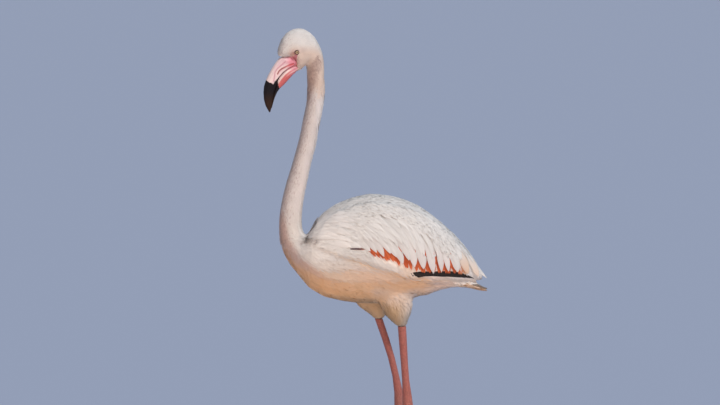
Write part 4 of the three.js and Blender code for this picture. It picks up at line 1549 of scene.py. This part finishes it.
def flight_feathers():
    rows = []
    total = arc_length(BLACK_BAND)
    tip_at = np.linspace(0.30, 1.12, FLIGHT_COUNT)  # shares of the band; the last tips stand beyond its end
    end = np.minimum(tip_at, 1.0) * total
    for _, out in SIDES:
        rng = np.random.default_rng(91)
        band_end = at_arc(BLACK_BAND, end)
        tips = band_end.copy()
        tips[:, 0] += np.maximum(tip_at - 1.0, 0.0) * total
        tips[:, 1] += rng.normal(-1.0, 1.2, FLIGHT_COUNT) * MM
        line = []
        for back in np.linspace(1.0, 0.0, 9):
            at = at_arc(BLACK_BAND, np.clip(end - back * FLIGHT_LENGTH, 0.0, total))
            side = tips + (at - band_end)
            side[:, 1] += back * FLIGHT_DROP
            line.append(side)
        line = np.stack(line, axis=1)
        points, normals = body_surface.from_side(line.reshape(-1, 2), out)
        shape = (FLIGHT_COUNT, line.shape[1], 3)
        rows.append((points.reshape(shape), normals.reshape(shape), tip_at))
    return rows


wing_feathers(
    "remiges", flight_feathers(), 6.0 * MM, POINTED, (0.6 * MM, 2.0 * MM), black_vanes, REMIGES_BLACK, 92,
    ragged=0.03, tilt=0.05,
)

# %% [markdown]
# ## Loose flank feathers
# Along the wing's lower edge the flank feathers are long and frayed and sweep back over the coverts' front
# end.

# %% Grow the flank's loose strands
FLANK_ZONE = np.array([
    (-95, 640), (-50, 665), (-15, 655), (20, 643), (45, 631), (68, 617), (82, 603), (110, 602), (160, 600),
    (150, 588), (60, 580), (-10, 590), (-70, 612),
]) * MM
small_feathers(
    "coat_flank", ["trunk"], body_surface, lambda p, n: in_outline(p, FLANK_ZONE), 101,
    spacing=5.0 * MM, length=42.0 * MM, half_width=2.0 * MM, rise=(0.1, 1.25), steps=5, rows=8,
    columns=TUFT_COLUMNS, stray=0.09, ragged=0.15, outline=(0.4, 0.8, 1.0, 0.9, 0.6, 0.12),
)

# %% [markdown]
# ## The tail
# The closed tail is a short fan under the wings' tips, dark brown above and tan below, where the tan is
# painted warm bounce light from the sand. Its feathers start all round the root and meet at the end, so that
# the fan has a top and an underside.

# %% Lay the tail feathers
TAIL_FEATHERS = 26
TAIL_BROWN = np.array([0.20, 0.155, 0.13])
TAIL_END = np.array([258.0, 0.0, 577.5]) * MM
TAIL_RUN = np.array([-70.0, 0.0, 17.0]) * MM  # from the end back to the roots


def tail_fan():
    """Feathers that lie all round the closed tail and meet at its end."""
    around = np.linspace(0.0, 2.0 * math.pi, TAIL_FEATHERS, endpoint=False)
    ring = np.stack([np.zeros(TAIL_FEATHERS), np.cos(around), np.sin(around)], axis=1)
    lines, uprights = [], []
    for back in np.linspace(1.0, 0.0, 9):
        centre = TAIL_END + back * TAIL_RUN
        radii = np.array([0.0, 5.0 + 26.0 * back, 1.5 + 9.0 * back]) * MM
        targets = centre + ring * radii
        places, normals = body_surface.nearest(targets)
        clear = 1.0 - smooth(back, 0.0, 0.16)
        lines.append(places * (1.0 - clear) + targets * clear)
        uprights.append(normals)
    return np.stack(lines, axis=1), unit(np.stack(uprights, axis=1)), 0.5 + 0.5 * np.sin(around)


def tail_colours(share, line):
    # the underside's tan is painted warm bounce light from the sand
    sand_lit = np.tile(TAIL_BOUNCE_TAN, (len(line), 1))
    upper = smooth(share, 0.45, 0.75)
    return mix(sand_lit, TAIL_BROWN * 1.4, 0.8 * upper), mix(sand_lit, TAIL_BROWN, upper)


wing_feathers(
    "rectrices", [tail_fan()], 5.0 * MM, STREAK, (0.3 * MM, 1.6 * MM), tail_colours, PLUMAGE, 112,
    ragged=0.04, cup=0.05,
)

# %% [markdown]
# ## The bill
# The bill is a horn sheath in two halves: a thin upper one and a deep trough below it, bent sharply down.
# Each half starts from its solid, remeshed finely and smoothed, then gets its furrows by pushing points in
# along their normals. The lines that furrows and colours follow come first.

# %% Lines on the bill
# In the head's side view, in millimetres.
GAPE = np.array([
    (-4.0, -32.0), (0.8, -35.5), (13.3, -41.5), (25.7, -50.0), (35.2, -60.0), (42.2, -69.5), (47.2, -79.5),
    (51.4, -91.5), (54.6, -106.5), (56.7, -119.8), (58.5, -130.0),
])
NOSTRIL_FURROW = np.array([
    (21.0, -25.5), (33.3, -35.0), (42.0, -42.4), (46.9, -50.0), (48.3, -61.0), (50.0, -70.0),
])
GAPE_FOLD = np.array([(0.0, -30.1), (8.8, -32.5), (17.7, -36.2), (29.2, -41.2), (36.0, -46.1), (40.3, -53.0)])
BLACK_EDGE = np.array([  # the tip is black below this line
    (26.0, -98.0), (36.1, -83.2), (38.3, -76.0), (39.5, -67.5), (43.0, -65.5), (47.0, -70.0), (51.5, -76.0),
    (57.9, -73.2), (62.8, -71.4), (69.5, -65.6), (80.0, -52.0),
])
gape_length = np.linalg.norm(np.diff(GAPE, axis=0), axis=1).sum()
print("gape length mm:", round(float(gape_length)))

# %% [markdown]
# ## Colours of the horn
# Both halves are painted by their distance from the same few lines, so that the stripes follow the bend. The
# lower half is rosy with fine red streaks and painted shade along its underside, and the upper one pale with a
# red fold. Pale bands beside the gape and along the ridge are painted highlights, and the black comes last.

# %% Colours of the bill
CULMEN_PINK = np.array([0.77, 0.56, 0.58])
FOLD_RED = np.array([0.50, 0.065, 0.06])
LOWER_ROSE = np.array([0.58, 0.155, 0.155])
BASE_ROSE = np.array([0.70, 0.24, 0.30])
KEEL_SHADE_PURPLE = np.array([0.30, 0.09, 0.11])
# painted shade along the lower half's underside
MAUVE = np.array([0.50, 0.22, 0.27])
FOLD_BROWN = np.array([0.22, 0.07, 0.055])
LIP_SHADE = np.array([0.45, 0.32, 0.28])
# the horn's own pale colour, and painted highlights beside the gape and along the ridge
PALE_HORN_AND_HIGHLIGHT = np.array([0.84, 0.69, 0.655])
GAPE_DARK = np.array([0.10, 0.02, 0.018])
HORN_BLACK = np.array([0.009, 0.005, 0.005])
HORN_BROWN = np.array([0.032, 0.013, 0.004])


def gape_waves(place, gape):
    """Fine ridges along the gape, from -1 to 1."""
    return np.sin(gape * 1.9 + 0.8 * np.sin(place[:, 0] * 0.35))


def lower_colour(place, gape, base, keel):
    # pale beside the gape: a painted highlight along the lower half's lip
    colour = mix(np.tile(PALE_HORN_AND_HIGHLIGHT, (len(place), 1)), LOWER_ROSE, smooth(gape, 4.5, 8.5))
    streak = 0.5 + 0.5 * gape_waves(place, gape)
    colour = mix(colour, FOLD_RED, 0.5 * streak * smooth(gape, 7.0, 10.0))
    colour = mix(colour, LIP_SHADE, 0.5 * furrow(gape - 3.6, 0.7) * smooth(place[:, 0], 18.0, 26.0))
    colour = mix(colour, BASE_ROSE * 0.85, 0.75 * (1.0 - smooth(place[:, 0], 1.0, 13.0)))
    colour = mix(colour, PALE_HORN_AND_HIGHLIGHT, 0.45 * furrow(gape - 11.0, 1.6) * base)
    # painted shade along the underside
    return mix(colour, KEEL_SHADE_PURPLE, 0.75 * keel)


def upper_colour(place, gape, base, keel):
    colour = np.tile(CULMEN_PINK, (len(place), 1))
    colour = mix(colour, PALE_HORN_AND_HIGHLIGHT, 0.7 * smooth(place[:, 0], 42.0, 62.0))
    colour = mix(colour, MAUVE, 0.30 * (1.0 - smooth(place[:, 0], 20.0, 44.0)))
    nostril, _, _ = line_distance(place, NOSTRIL_FURROW)
    fold, side, fold_along = line_distance(place, GAPE_FOLD)
    colour = mix(colour, BASE_ROSE, 0.9 * base * smooth(-place[:, 1], 10.0, 17.0))
    colour = mix(colour, MAUVE, 0.75 * furrow(nostril, 1.6))
    colour = mix(colour, PALE_HORN_AND_HIGHLIGHT, 0.7 * furrow(fold * side - 3.2, 1.6) * smooth(place[:, 0], 8.0, 18.0))
    colour = mix(colour, FOLD_RED, 0.95 * furrow(fold, 2.1) * (1.0 - 0.4 * fold_along))
    colour = mix(colour, FOLD_BROWN, 0.9 * furrow(fold, 1.3) * smooth(fold_along, 0.3, 0.6))
    # painted highlights: a pale band above the gape and a pale line along the ridge
    colour = mix(colour, PALE_HORN_AND_HIGHLIGHT, 0.85 * furrow(gape - 3.4, 1.8) * (1.0 - base))
    return mix(colour, PALE_HORN_AND_HIGHLIGHT, 0.5 * keel * (1.0 - base))


def bill_colour(points, lower):
    place = head_view(points)
    gape, _, _ = line_distance(place, GAPE)
    base = 1.0 - smooth(place[:, 0], 6.0, 24.0)
    keel = 1.0 - smooth(np.abs(to_head(points)[:, 1]), 2.5, 8.0)
    colour = (lower_colour if lower else upper_colour)(place, gape, base, keel)
    line_width = 1.0 + 0.5 * smooth(place[:, 0], 12.0, 30.0)
    colour = mix(colour, mix(GAPE_DARK, FOLD_BROWN, 0.7 * base), 0.97 * furrow(gape, line_width))
    edge, side, _ = line_distance(place, BLACK_EDGE)
    below = edge * -side + 0.9 * wander(points, 0.006, 8)
    black = smooth(below, -0.6, 1.0)
    wedge = 0.2 + 2.2 * smooth(place[:, 0], 30.0, 44.0)
    black = np.maximum(black, (1.0 - smooth(gape - wedge, -0.4, 0.4)) * smooth(place[:, 0], 20.0, 28.0))
    horn = mix(np.tile(HORN_BLACK, (len(points), 1)), HORN_BROWN, smooth(-place[:, 1], 88.0, 125.0))
    return mix(colour, horn, black)


print("colour at the bill's tip:", bill_colour(from_head(57.0, 0.0, -110.0)[None], False)[0].round(3))

# %% [markdown]
# ## Carving the bill
# Each solid is remeshed to little more than half a millimetre, which is fine enough to carry the nostril's
# furrow and the fold by the gape as true hollows. Horn is satin, with a faint coat of gloss.

# %% Build the bill
def refined(node, voxel, rounds):
    """A solid of one piece as a fine smooth mesh."""
    return flesh_shell(node, [node], voxel * 0.4, voxel, rounds)


def new_piece(name, verts, quads, tint, material, slot, *nodes):
    piece = make_mesh(name, verts, quads, tint)
    piece.data.materials.append(material)
    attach(piece, "root")
    PIECES.append(piece)
    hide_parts(*nodes)
    return piece


def horn_material(name, roughness, grain):
    material, tree, shader = new_material(name, roughness, 0.32)
    shader.inputs["Coat Weight"].default_value = 0.06
    shader.inputs["Coat Roughness"].default_value = 0.25
    tinted(tree, shader, grain, 0.88, 1.08)
    bumped(tree, shader, noise(tree, grain * 2.2, 4.0), 0.2, 0.0004)
    return material


HORN = horn_material("horn", 0.45, 420.0)


def build_bill(lower):
    node = "bill_lower" if lower else "bill_upper"
    verts, normals, quads = refined(node, 0.6 * MM, 18)
    place = head_view(verts)
    gape, _, _ = line_distance(place, GAPE)
    depth = 0.55 * furrow(gape, 0.9)
    if lower:
        wave = gape_waves(place, gape)
        depth = depth + 0.22 * wave * smooth(gape, 3.0, 7.0) * (1.0 - smooth(-place[:, 1], 62.0, 72.0))
        depth = depth + 2.6 * smooth(-to_head(verts)[:, 0], -CHIN_FRONT - 1.0, -CHIN_FRONT + 3.0)
    else:
        nostril, _, along = line_distance(place, NOSTRIL_FURROW)
        fold, _, _ = line_distance(place, GAPE_FOLD)
        depth = depth + 1.0 * furrow(nostril, 1.3) * (1.0 - 0.7 * along) + 0.8 * furrow(fold, 1.5)
    tint = bill_colour(verts, lower)
    carved = verts - normals * (depth * MM)[:, None]
    new_piece(node + "_horn", carved, quads, tint, HORN, "bill_lower" if lower else "bill", node)
    print(node, "deepest hollow mm:", round(float(depth.max()), 2))


build_bill(False)
build_bill(True)

# %% [markdown]
# ## The eyes
# A flamingo's eye is small and pale yellow with a black pupil, and sits in a ring of bare wrinkled skin. The
# ball is a grid of rings round the line of sight with the clear front bulging a little, and the lids are a
# folded band that starts on the ball and ends in the skin.

# %% Eyeballs
IRIS_YELLOW = np.array([0.66, 0.49, 0.30])
IRIS_OCHRE = np.array([0.38, 0.22, 0.08])
PUPIL_ANGLE, IRIS_ANGLE = math.radians(15.0), math.radians(43.0)
EYE_RINGS, EYE_AROUND = 30, 64


def sight_axes(out):
    """Line of sight, up and across of one eye, tilted a little forwards."""
    sight = unit(-HEAD_LEFT * out + 0.16 * HEAD_FORWARD)
    up = unit(HEAD_UP - sight * (HEAD_UP @ sight))
    return sight, up, np.cross(up, sight)


def ring_grid(centre, axes, angles, radii):
    """Points on rings about the line of sight. angles and radii are (rings, around)."""
    sight, up, across = axes
    turn = np.linspace(0.0, 2.0 * math.pi, angles.shape[1], endpoint=False)[None]
    flat = np.sin(angles) * radii
    return (
        centre + sight * (np.cos(angles) * radii)[..., None]
        + up * (flat * np.sin(turn))[..., None] + across * (flat * np.cos(turn))[..., None]
    )


def ring_faces(rings, around):
    cell = np.arange(rings * around).reshape(rings, around)
    shifted = np.roll(cell, -1, axis=1)
    return np.stack([cell[:-1], cell[1:], shifted[1:], shifted[:-1]], axis=-1).reshape(-1, 4)


def eye_material():
    material, tree, shader = new_material("wet_eye", 0.06, 0.6)
    shader.inputs["Coat Weight"].default_value = 1.0
    shader.inputs["Coat Roughness"].default_value = 0.02
    tinted(tree, shader, 1500.0, 0.85, 1.12)
    return material


EYE_GLOSS = eye_material()


def build_eye(side, out):
    angles = np.repeat(np.linspace(0.004, math.radians(150.0), EYE_RINGS)[:, None], EYE_AROUND, axis=1)
    bulge = 1.0 + 0.045 * (1.0 - smooth(angles, 0.25, 0.80))
    verts = ring_grid(EYES[side], sight_axes(out), angles, EYE_RADIUS * bulge).reshape(-1, 3)
    flat = angles.ravel()
    turn = np.tile(np.arange(EYE_AROUND), EYE_RINGS)
    rays = 0.5 + 0.5 * np.sin(turn * 2.9) * np.sin(turn * 1.3 + 1.0)
    tint = mix(np.tile(IRIS_YELLOW, (len(flat), 1)), IRIS_OCHRE, 0.25 * rays)
    tint = mix(tint, IRIS_OCHRE, 1.0 - smooth(flat, PUPIL_ANGLE, PUPIL_ANGLE * 1.5))
    tint = mix(tint, IRIS_OCHRE * 0.3, smooth(flat, IRIS_ANGLE * 0.74, IRIS_ANGLE * 0.95))
    tint = mix(tint, HORN_BLACK * 0.4, 1.0 - smooth(flat, PUPIL_ANGLE * 0.94, PUPIL_ANGLE * 1.06))
    faces = ring_faces(EYE_RINGS, EYE_AROUND)
    new_piece("eyeball_" + side, verts, faces, tint, EYE_GLOSS, "eye", "eye_" + side)


print("pupil width mm:", round(2.0 * EYE_RADIUS / MM * math.sin(PUPIL_ANGLE), 1))

# %% [markdown]
# ## Lids
# The lids are rings about the same line of sight. Their height over the ball rises to a rim, falls into a
# groove and rises again before it dives into the skin, and the rim is thicker and darker above and behind.

# %% Build the lids
LID_ROWS = np.array([  # degrees beyond the opening's edge, and millimetres above the ball
    (-2.0, -0.25), (0.0, 0.35), (3.0, 0.80), (7.0, 0.95), (11.0, 0.66), (14.0, 0.52), (18.0, 0.70),
    (23.0, 0.50), (28.0, 0.10), (36.0, -0.9),
])
LID_SKIN = np.array([0.46, 0.28, 0.20])
LID_RIM = np.array([0.045, 0.020, 0.016])


def build_lids(side, out):
    turn = np.linspace(0.0, 2.0 * math.pi, EYE_AROUND, endpoint=False)
    upper, back = np.maximum(np.sin(turn), 0.0), np.maximum(-out * np.cos(turn), 0.0)
    opening = 42.0 + 4.0 * np.abs(np.cos(turn)) - 12.0 * upper
    angles = np.radians(opening[None] + LID_ROWS[:, :1])
    wrinkle = 0.07 * np.sin(turn * 17.0) + 0.05 * np.sin(turn * 31.0 + 1.0)
    radii = EYE_RADIUS + (LID_ROWS[:, 1:] + wrinkle[None] * smooth(LID_ROWS[:, :1], 2.0, 12.0)) * MM
    verts = ring_grid(EYES[side], sight_axes(out), angles, radii).reshape(-1, 3)
    beyond = np.repeat(LID_ROWS[:, 0], EYE_AROUND)
    upper, back = np.tile(upper, len(LID_ROWS)), np.tile(back, len(LID_ROWS))
    outer = mix(np.tile(BARE_PINK, (len(verts), 1)), LID_SKIN, np.clip(0.2 + upper + back, 0.0, 1.0))
    shade = np.clip(upper + back, 0.0, 1.0)
    rim = 1.0 - smooth(beyond, 8.0 + 26.0 * shade, 14.0 + 30.0 * shade)
    tint = mix(outer, LID_RIM, 0.95 * rim)
    piece = make_mesh("lids_" + side, verts, ring_faces(len(LID_ROWS), EYE_AROUND), tint)
    piece.data.materials.append(SKIN)
    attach(piece, "root")
    PIECES.append(piece)


for side, out in SIDES:
    build_eye(side, out)
    build_lids(side, out)
print("lid rings:", len(LID_ROWS), "highest mm:", LID_ROWS[:, 1].max())

# %% [markdown]
# ## The skin itself
# Body, head and legs become one object with one material. Under the plumage it has the plumage's own colour,
# so that no gap shows; between eye and bill and down the legs it is bare.

# %% Skin object
LEG_RED = np.array([0.39, 0.130, 0.105])
LEG_DULL = np.array([0.36, 0.15, 0.125])


def leg_colour(points):
    hock = furrow(points[:, 2] - 0.303, 0.022)
    foot = 1.0 - smooth(points[:, 2], 0.02, 0.06)
    dull = np.clip(0.7 * hock + 0.5 * foot + 0.25 * wander(points, 0.02, 12), 0.0, 1.0)
    return mix(np.tile(LEG_RED, (len(points), 1)), LEG_DULL, dull)


def bare_face(points):
    return (1.0 - smooth(feathered_depth(points), -0.5, 1.2)) * (points[:, 2] > 1.05)


def build_skin():
    legs = leg_shell[0] - unit(leg_shell[1]) * 0.5 * MM * smooth(leg_shell[0][:, 2], 0.0, 0.004)[:, None]
    verts = np.concatenate([body_skin[0], head_skin[0], legs])
    normals = np.concatenate([body_skin[1], head_skin[1], leg_shell[1]])
    starts = (0, len(body_skin[0]), len(body_skin[0]) + len(head_skin[0]))
    parts = (body_skin, head_skin, leg_shell)
    quads = np.concatenate([part[2] + start for part, start in zip(parts, starts)])
    bare = mix(np.tile(BARE_PINK, (len(verts), 1)), BARE_MAUVE, smooth(wander(verts, 0.0022, 14), 0.05, 0.9))
    tint = mix(plumage_colour(verts, normals), bare, bare_face(verts))
    below_hem = np.arange(len(verts)) >= starts[2]
    tint = np.where(below_hem[:, None], leg_colour(verts), tint)
    new_piece("skin", verts, quads, tint, SKIN, "plumage", *BODY_NODES, *LEG_NODES, "head")
    print("skin faces:", len(quads))


build_skin()

# %% [markdown]
# ## Scales of the legs
# The legs are clad in small scales: a ladder of broad plates down the front and fine rounded ones elsewhere.
# Each scale is a little domed grid. Its points start on a tube round the leg's middle line and are moved to
# the nearest skin, so the scales follow every swelling.

# %% Scale material and helper
def scale_material():
    material, tree, shader = new_material("leg_scales", 0.48, 0.4)
    tinted(tree, shader, 650.0, 0.86, 1.10)
    bumped(tree, shader, noise(tree, 2600.0, 3.0), 0.25, 0.0003)
    return material


LEG_SCALES = scale_material()
SCALE_STEPS = np.linspace(-1.0, 1.0, 5)  # places along and across one scale
DOME = np.array([0.0, 0.8, 1.0, 0.8, 0.0])
DOMED = (DOME[:, None] * DOME[None]) ** 0.6


def leg_middle(shell_verts, out, heights):
    """Centre and radius of one leg at given heights."""
    mine = shell_verts[shell_verts[:, 1] * out > 0.0]
    centres, radii = [], []
    for z in heights:
        ring = mine[np.abs(mine[:, 2] - z) < 1.6 * MM]
        middle = (ring.min(axis=0) + ring.max(axis=0)) / 2.0
        centres.append((middle[0], middle[1], z))
        radii.append((ring[:, :2].max(axis=0) - ring[:, :2].min(axis=0)).mean() / 2.0)
    return np.array(centres), np.array(radii)


def scale_field(centres, radii, heights, turns, half_turn, half_height, lift):
    """Domed patches on a leg: one at each height and turn, (n, 5, 5, 3)."""
    u = SCALE_STEPS
    corner = 1.0 - 0.22 * (np.abs(u)[:, None] * np.abs(u)[None]) ** 2
    turn = turns[:, None, None] + half_turn[:, None, None] * (u[None] * corner)[None]
    z = heights[:, None, None] - half_height * (u[:, None] * corner)[None]
    x = np.interp(z, centres[:, 2], centres[:, 0])
    y = np.interp(z, centres[:, 2], centres[:, 1])
    radius = np.interp(z, centres[:, 2], radii)
    points = np.stack([x + radius * np.cos(turn), y + radius * np.sin(turn), z], axis=-1)
    slope = 0.25 * (u[:, None] + 1.0) * (DOMED > 0.0)
    skin_points, skin_normals = leg_surface.nearest(points)
    return skin_points + skin_normals * (lift * (DOMED + slope)[None, :, :, None] - 0.12 * MM)


leg_surface = Surface(leg_shell[0] - unit(leg_shell[1]) * 0.5 * MM, leg_shell[2])
print("leg skin triangles:", len(leg_surface.tris))

# %% [markdown]
# ## Rings of scales and the front ladder
# Small scales go round the leg in rings, every other ring shifted by half a scale. Down the front of each
# long bone a ladder of broad plates takes their place, but not over the hock, which bends.

# %% Scales of one leg
SCALE_SIZE = 3.5 * MM
PLATE_HEIGHT = 6.2 * MM
PLATE_HALF_TURN = 0.85
LEG_BOTTOM = 0.030
HOCK_LOW, HOCK_HIGH = 0.268, 0.345  # the ladders stop below and above the hock
PLATES_BELOW_HEM = 0.02
SCALE_OVERLAP = 0.56


def build_leg_scales(side, out):
    top = min(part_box("tibia_" + side)[1][2], 0.52) - 1.5 * MM
    heights = np.arange(LEG_BOTTOM, top, 3.0 * MM)
    centres, radii = leg_middle(leg_shell[0], out, heights)
    rng = np.random.default_rng(130)
    grids = []
    for row, z in enumerate(np.arange(LEG_BOTTOM, top, SCALE_SIZE * 0.86)):
        radius = np.interp(z, centres[:, 2], radii)
        count = int(round(2.0 * math.pi * radius / SCALE_SIZE))
        turns = (np.arange(count) + 0.5 * (row % 2)) / count * 2.0 * math.pi
        turns = turns + rng.normal(0.0, 0.04, count)
        from_front = np.abs(turns % (2.0 * math.pi) - math.pi)
        plated = (z < HOCK_LOW) | ((z > HOCK_HIGH) & (z < top - PLATES_BELOW_HEM))
        keep = (from_front > PLATE_HALF_TURN * 0.92) if plated else np.ones(count, dtype=bool)
        turns = turns[keep]
        half_turn = np.full(len(turns), 0.54 * 2.0 * math.pi / count)
        grids.append(scale_field(
            centres, radii, np.full(len(turns), z), turns, half_turn, SCALE_SIZE * SCALE_OVERLAP, 0.30 * MM,
        ))
    for low, high in ((LEG_BOTTOM, HOCK_LOW), (HOCK_HIGH, top - PLATES_BELOW_HEM)):
        plates = np.arange(low, high, PLATE_HEIGHT)
        grids.append(scale_field(
            centres, radii, plates, np.full(len(plates), math.pi), np.full(len(plates), PLATE_HALF_TURN),
            PLATE_HEIGHT * SCALE_OVERLAP, 0.42 * MM,
        ))
    return np.concatenate(grids)


print("thickness of the left hock mm:", round(2.0 * leg_middle(leg_shell[0], -1.0, [0.30])[1][0] / MM, 1))

# %% [markdown]
# ## Toes
# Each front toe wears plates across its top from ankle to claw. A ray shot straight down puts every point of
# a plate on the toe, and a plate whose ray misses is left out.

# %% Plates of the toes, and all scales joined
TOE_PLATE = 3.9 * MM


def toe_plates(side, out):
    """Plates across the top of each toe, from the ankle to the claw."""
    ankle = leg_middle(leg_shell[0], out, [LEG_BOTTOM])[0][0]
    u = SCALE_STEPS
    grids = []
    for toe in ("inner", "middle", "outer"):
        claw = box_centre(f"claw_{toe}_{side}")
        run = (claw - ankle) * (1.0, 1.0, 0.0)
        length = np.linalg.norm(run)
        ahead = run / length
        across = np.array([-ahead[1], ahead[0], 0.0])
        for at in np.arange(0.13 * length, 0.93 * length, TOE_PLATE):
            half = (4.6 - 2.0 * at / length) * MM
            place = ankle + ahead * at
            lengthwise, sideways = u[:, None, None] * TOE_PLATE * SCALE_OVERLAP, u[None, :, None] * half
            flat = (place + ahead * lengthwise + across * sideways).reshape(-1, 3)
            flat[:, 2] = 0.05
            hits = [leg_surface.tree.ray_cast(Vector(p), Vector((0.0, 0.0, -1.0)))[0] for p in flat]
            if any(hit is None for hit in hits):
                continue
            dome = DOMED + 0.25 * (u[:, None] + 1.0)
            points = np.array(hits).reshape(5, 5, 3)
            points[..., 2] += 0.30 * MM * dome - 0.1 * MM
            grids.append(points)
    return np.array(grids)


def cover_legs():
    for side, out in SIDES:
        grids = np.concatenate([build_leg_scales(side, out), toe_plates(side, out)])
        flat = grids.reshape(-1, 3)
        rng = np.random.default_rng(140)
        u = SCALE_STEPS
        shade = np.repeat(rng.uniform(0.78, 1.12, len(grids)), len(u) ** 2)
        edge = 1.0 - 0.5 * np.maximum(np.abs(u)[:, None], np.abs(u)[None]) ** 4
        shade = shade * np.tile(edge.ravel(), len(grids))
        tint = np.clip(leg_colour(flat) * shade[:, None] * 1.05, 0.0, 1.0)
        places = leg_place(grids[:, 2, 2], side)
        coat_piece(
            "scales_" + side, grids, tint.reshape(grids.shape), places,
            [part + side for part in ("tibia_", "hock_", "tarsus_", "foot_")], LEG_SCALES,
        )


cover_legs()

# %% [markdown]
# ## Claws
# Eight short blunt claws of dark horn, each smoothed from its solid.

# %% Claws
CLAW_HORN = horn_material("claw_horn", 0.42, 900.0)


def build_claws():
    for side, _ in SIDES:
        for toe in ("inner", "middle", "outer", "hind"):
            node = f"claw_{toe}_{side}"
            verts, _, quads = refined(node, 0.45 * MM, 4)
            along = smooth(verts[:, 0], verts[:, 0].min(), verts[:, 0].max())
            tint = mix(np.tile(HORN_BLACK * 2.0, (len(verts), 1)), HORN_BROWN * 1.5, along)
            new_piece(node + "_horn", verts, quads, tint, CLAW_HORN, "claw", node)


build_claws()

# %% [markdown]
# ## Floor and light
# A pale floor runs far back, so that it fills the picture behind the bird. A soft sun stands high on the
# right, behind the camera, and the sky fills the shadows with a little blue. A warm lamp near the ground
# does what pale sand would do to the belly; it lights the bird alone and isn't seen in the wet eye.

# %% Studio
FLOOR_COLOUR = (0.34, 0.395, 0.525)
FLOOR_HALF = 400.0
SKY_COLOUR, SKY_STRENGTH = (0.66, 0.71, 0.82), 0.40
BIRD_MIDDLE = Vector((0.0, 0.0, 0.75))


def build_floor():
    material, tree, shader = new_material("floor_paint", 0.85, 0.2)
    shader.inputs["Base Color"].default_value = (*FLOOR_COLOUR, 1.0)
    bumped(tree, shader, noise(tree, 6.0, 3.0), 0.03, 0.002)
    corners = np.array([(-1, -1, 0), (1, -1, 0), (1, 1, 0), (-1, 1, 0)]) * FLOOR_HALF
    floor = make_mesh("floor", corners, np.array([(0, 1, 2, 3)]))
    floor.data.materials.append(material)


def add_lamp(name, kind, place, energy, colour, size):
    light = bpy.data.lights.new(name, kind)
    light.energy = energy
    light.color = colour
    if kind == "SUN":
        light.angle = size
    else:
        light.shape = "DISK"
        light.size = size
    lamp = bpy.data.objects.new(name, light)
    lamp.location = place
    lamp.rotation_euler = (BIRD_MIDDLE - Vector(place)).to_track_quat("-Z", "Y").to_euler()
    bpy.context.scene.collection.objects.link(lamp)
    return lamp


def build_world():
    world = bpy.data.worlds.new("studio")
    world.use_nodes = True
    background = world.node_tree.nodes["Background"]
    background.inputs["Color"].default_value = (*SKY_COLOUR, 1.0)
    background.inputs["Strength"].default_value = SKY_STRENGTH
    bpy.context.scene.world = world


build_floor()
build_world()
add_lamp("key", "SUN", (3.55, -2.6, 6.1), 2.4, (1.0, 0.985, 0.97), math.radians(7.0))
bounce = add_lamp("sand_bounce", "AREA", (-0.1, -1.35, 0.06), 34.0, (1.0, 0.71, 0.46), 2.2)
bounce.visible_glossy = False
lit = bpy.data.collections.new("lit_by_sand")
bounce.light_linking.receiver_collection = lit
for piece in PIECES:
    lit.objects.link(piece)
bpy.context.scene.view_settings.view_transform = "Standard"
print("pieces lit by the sand:", len(PIECES))
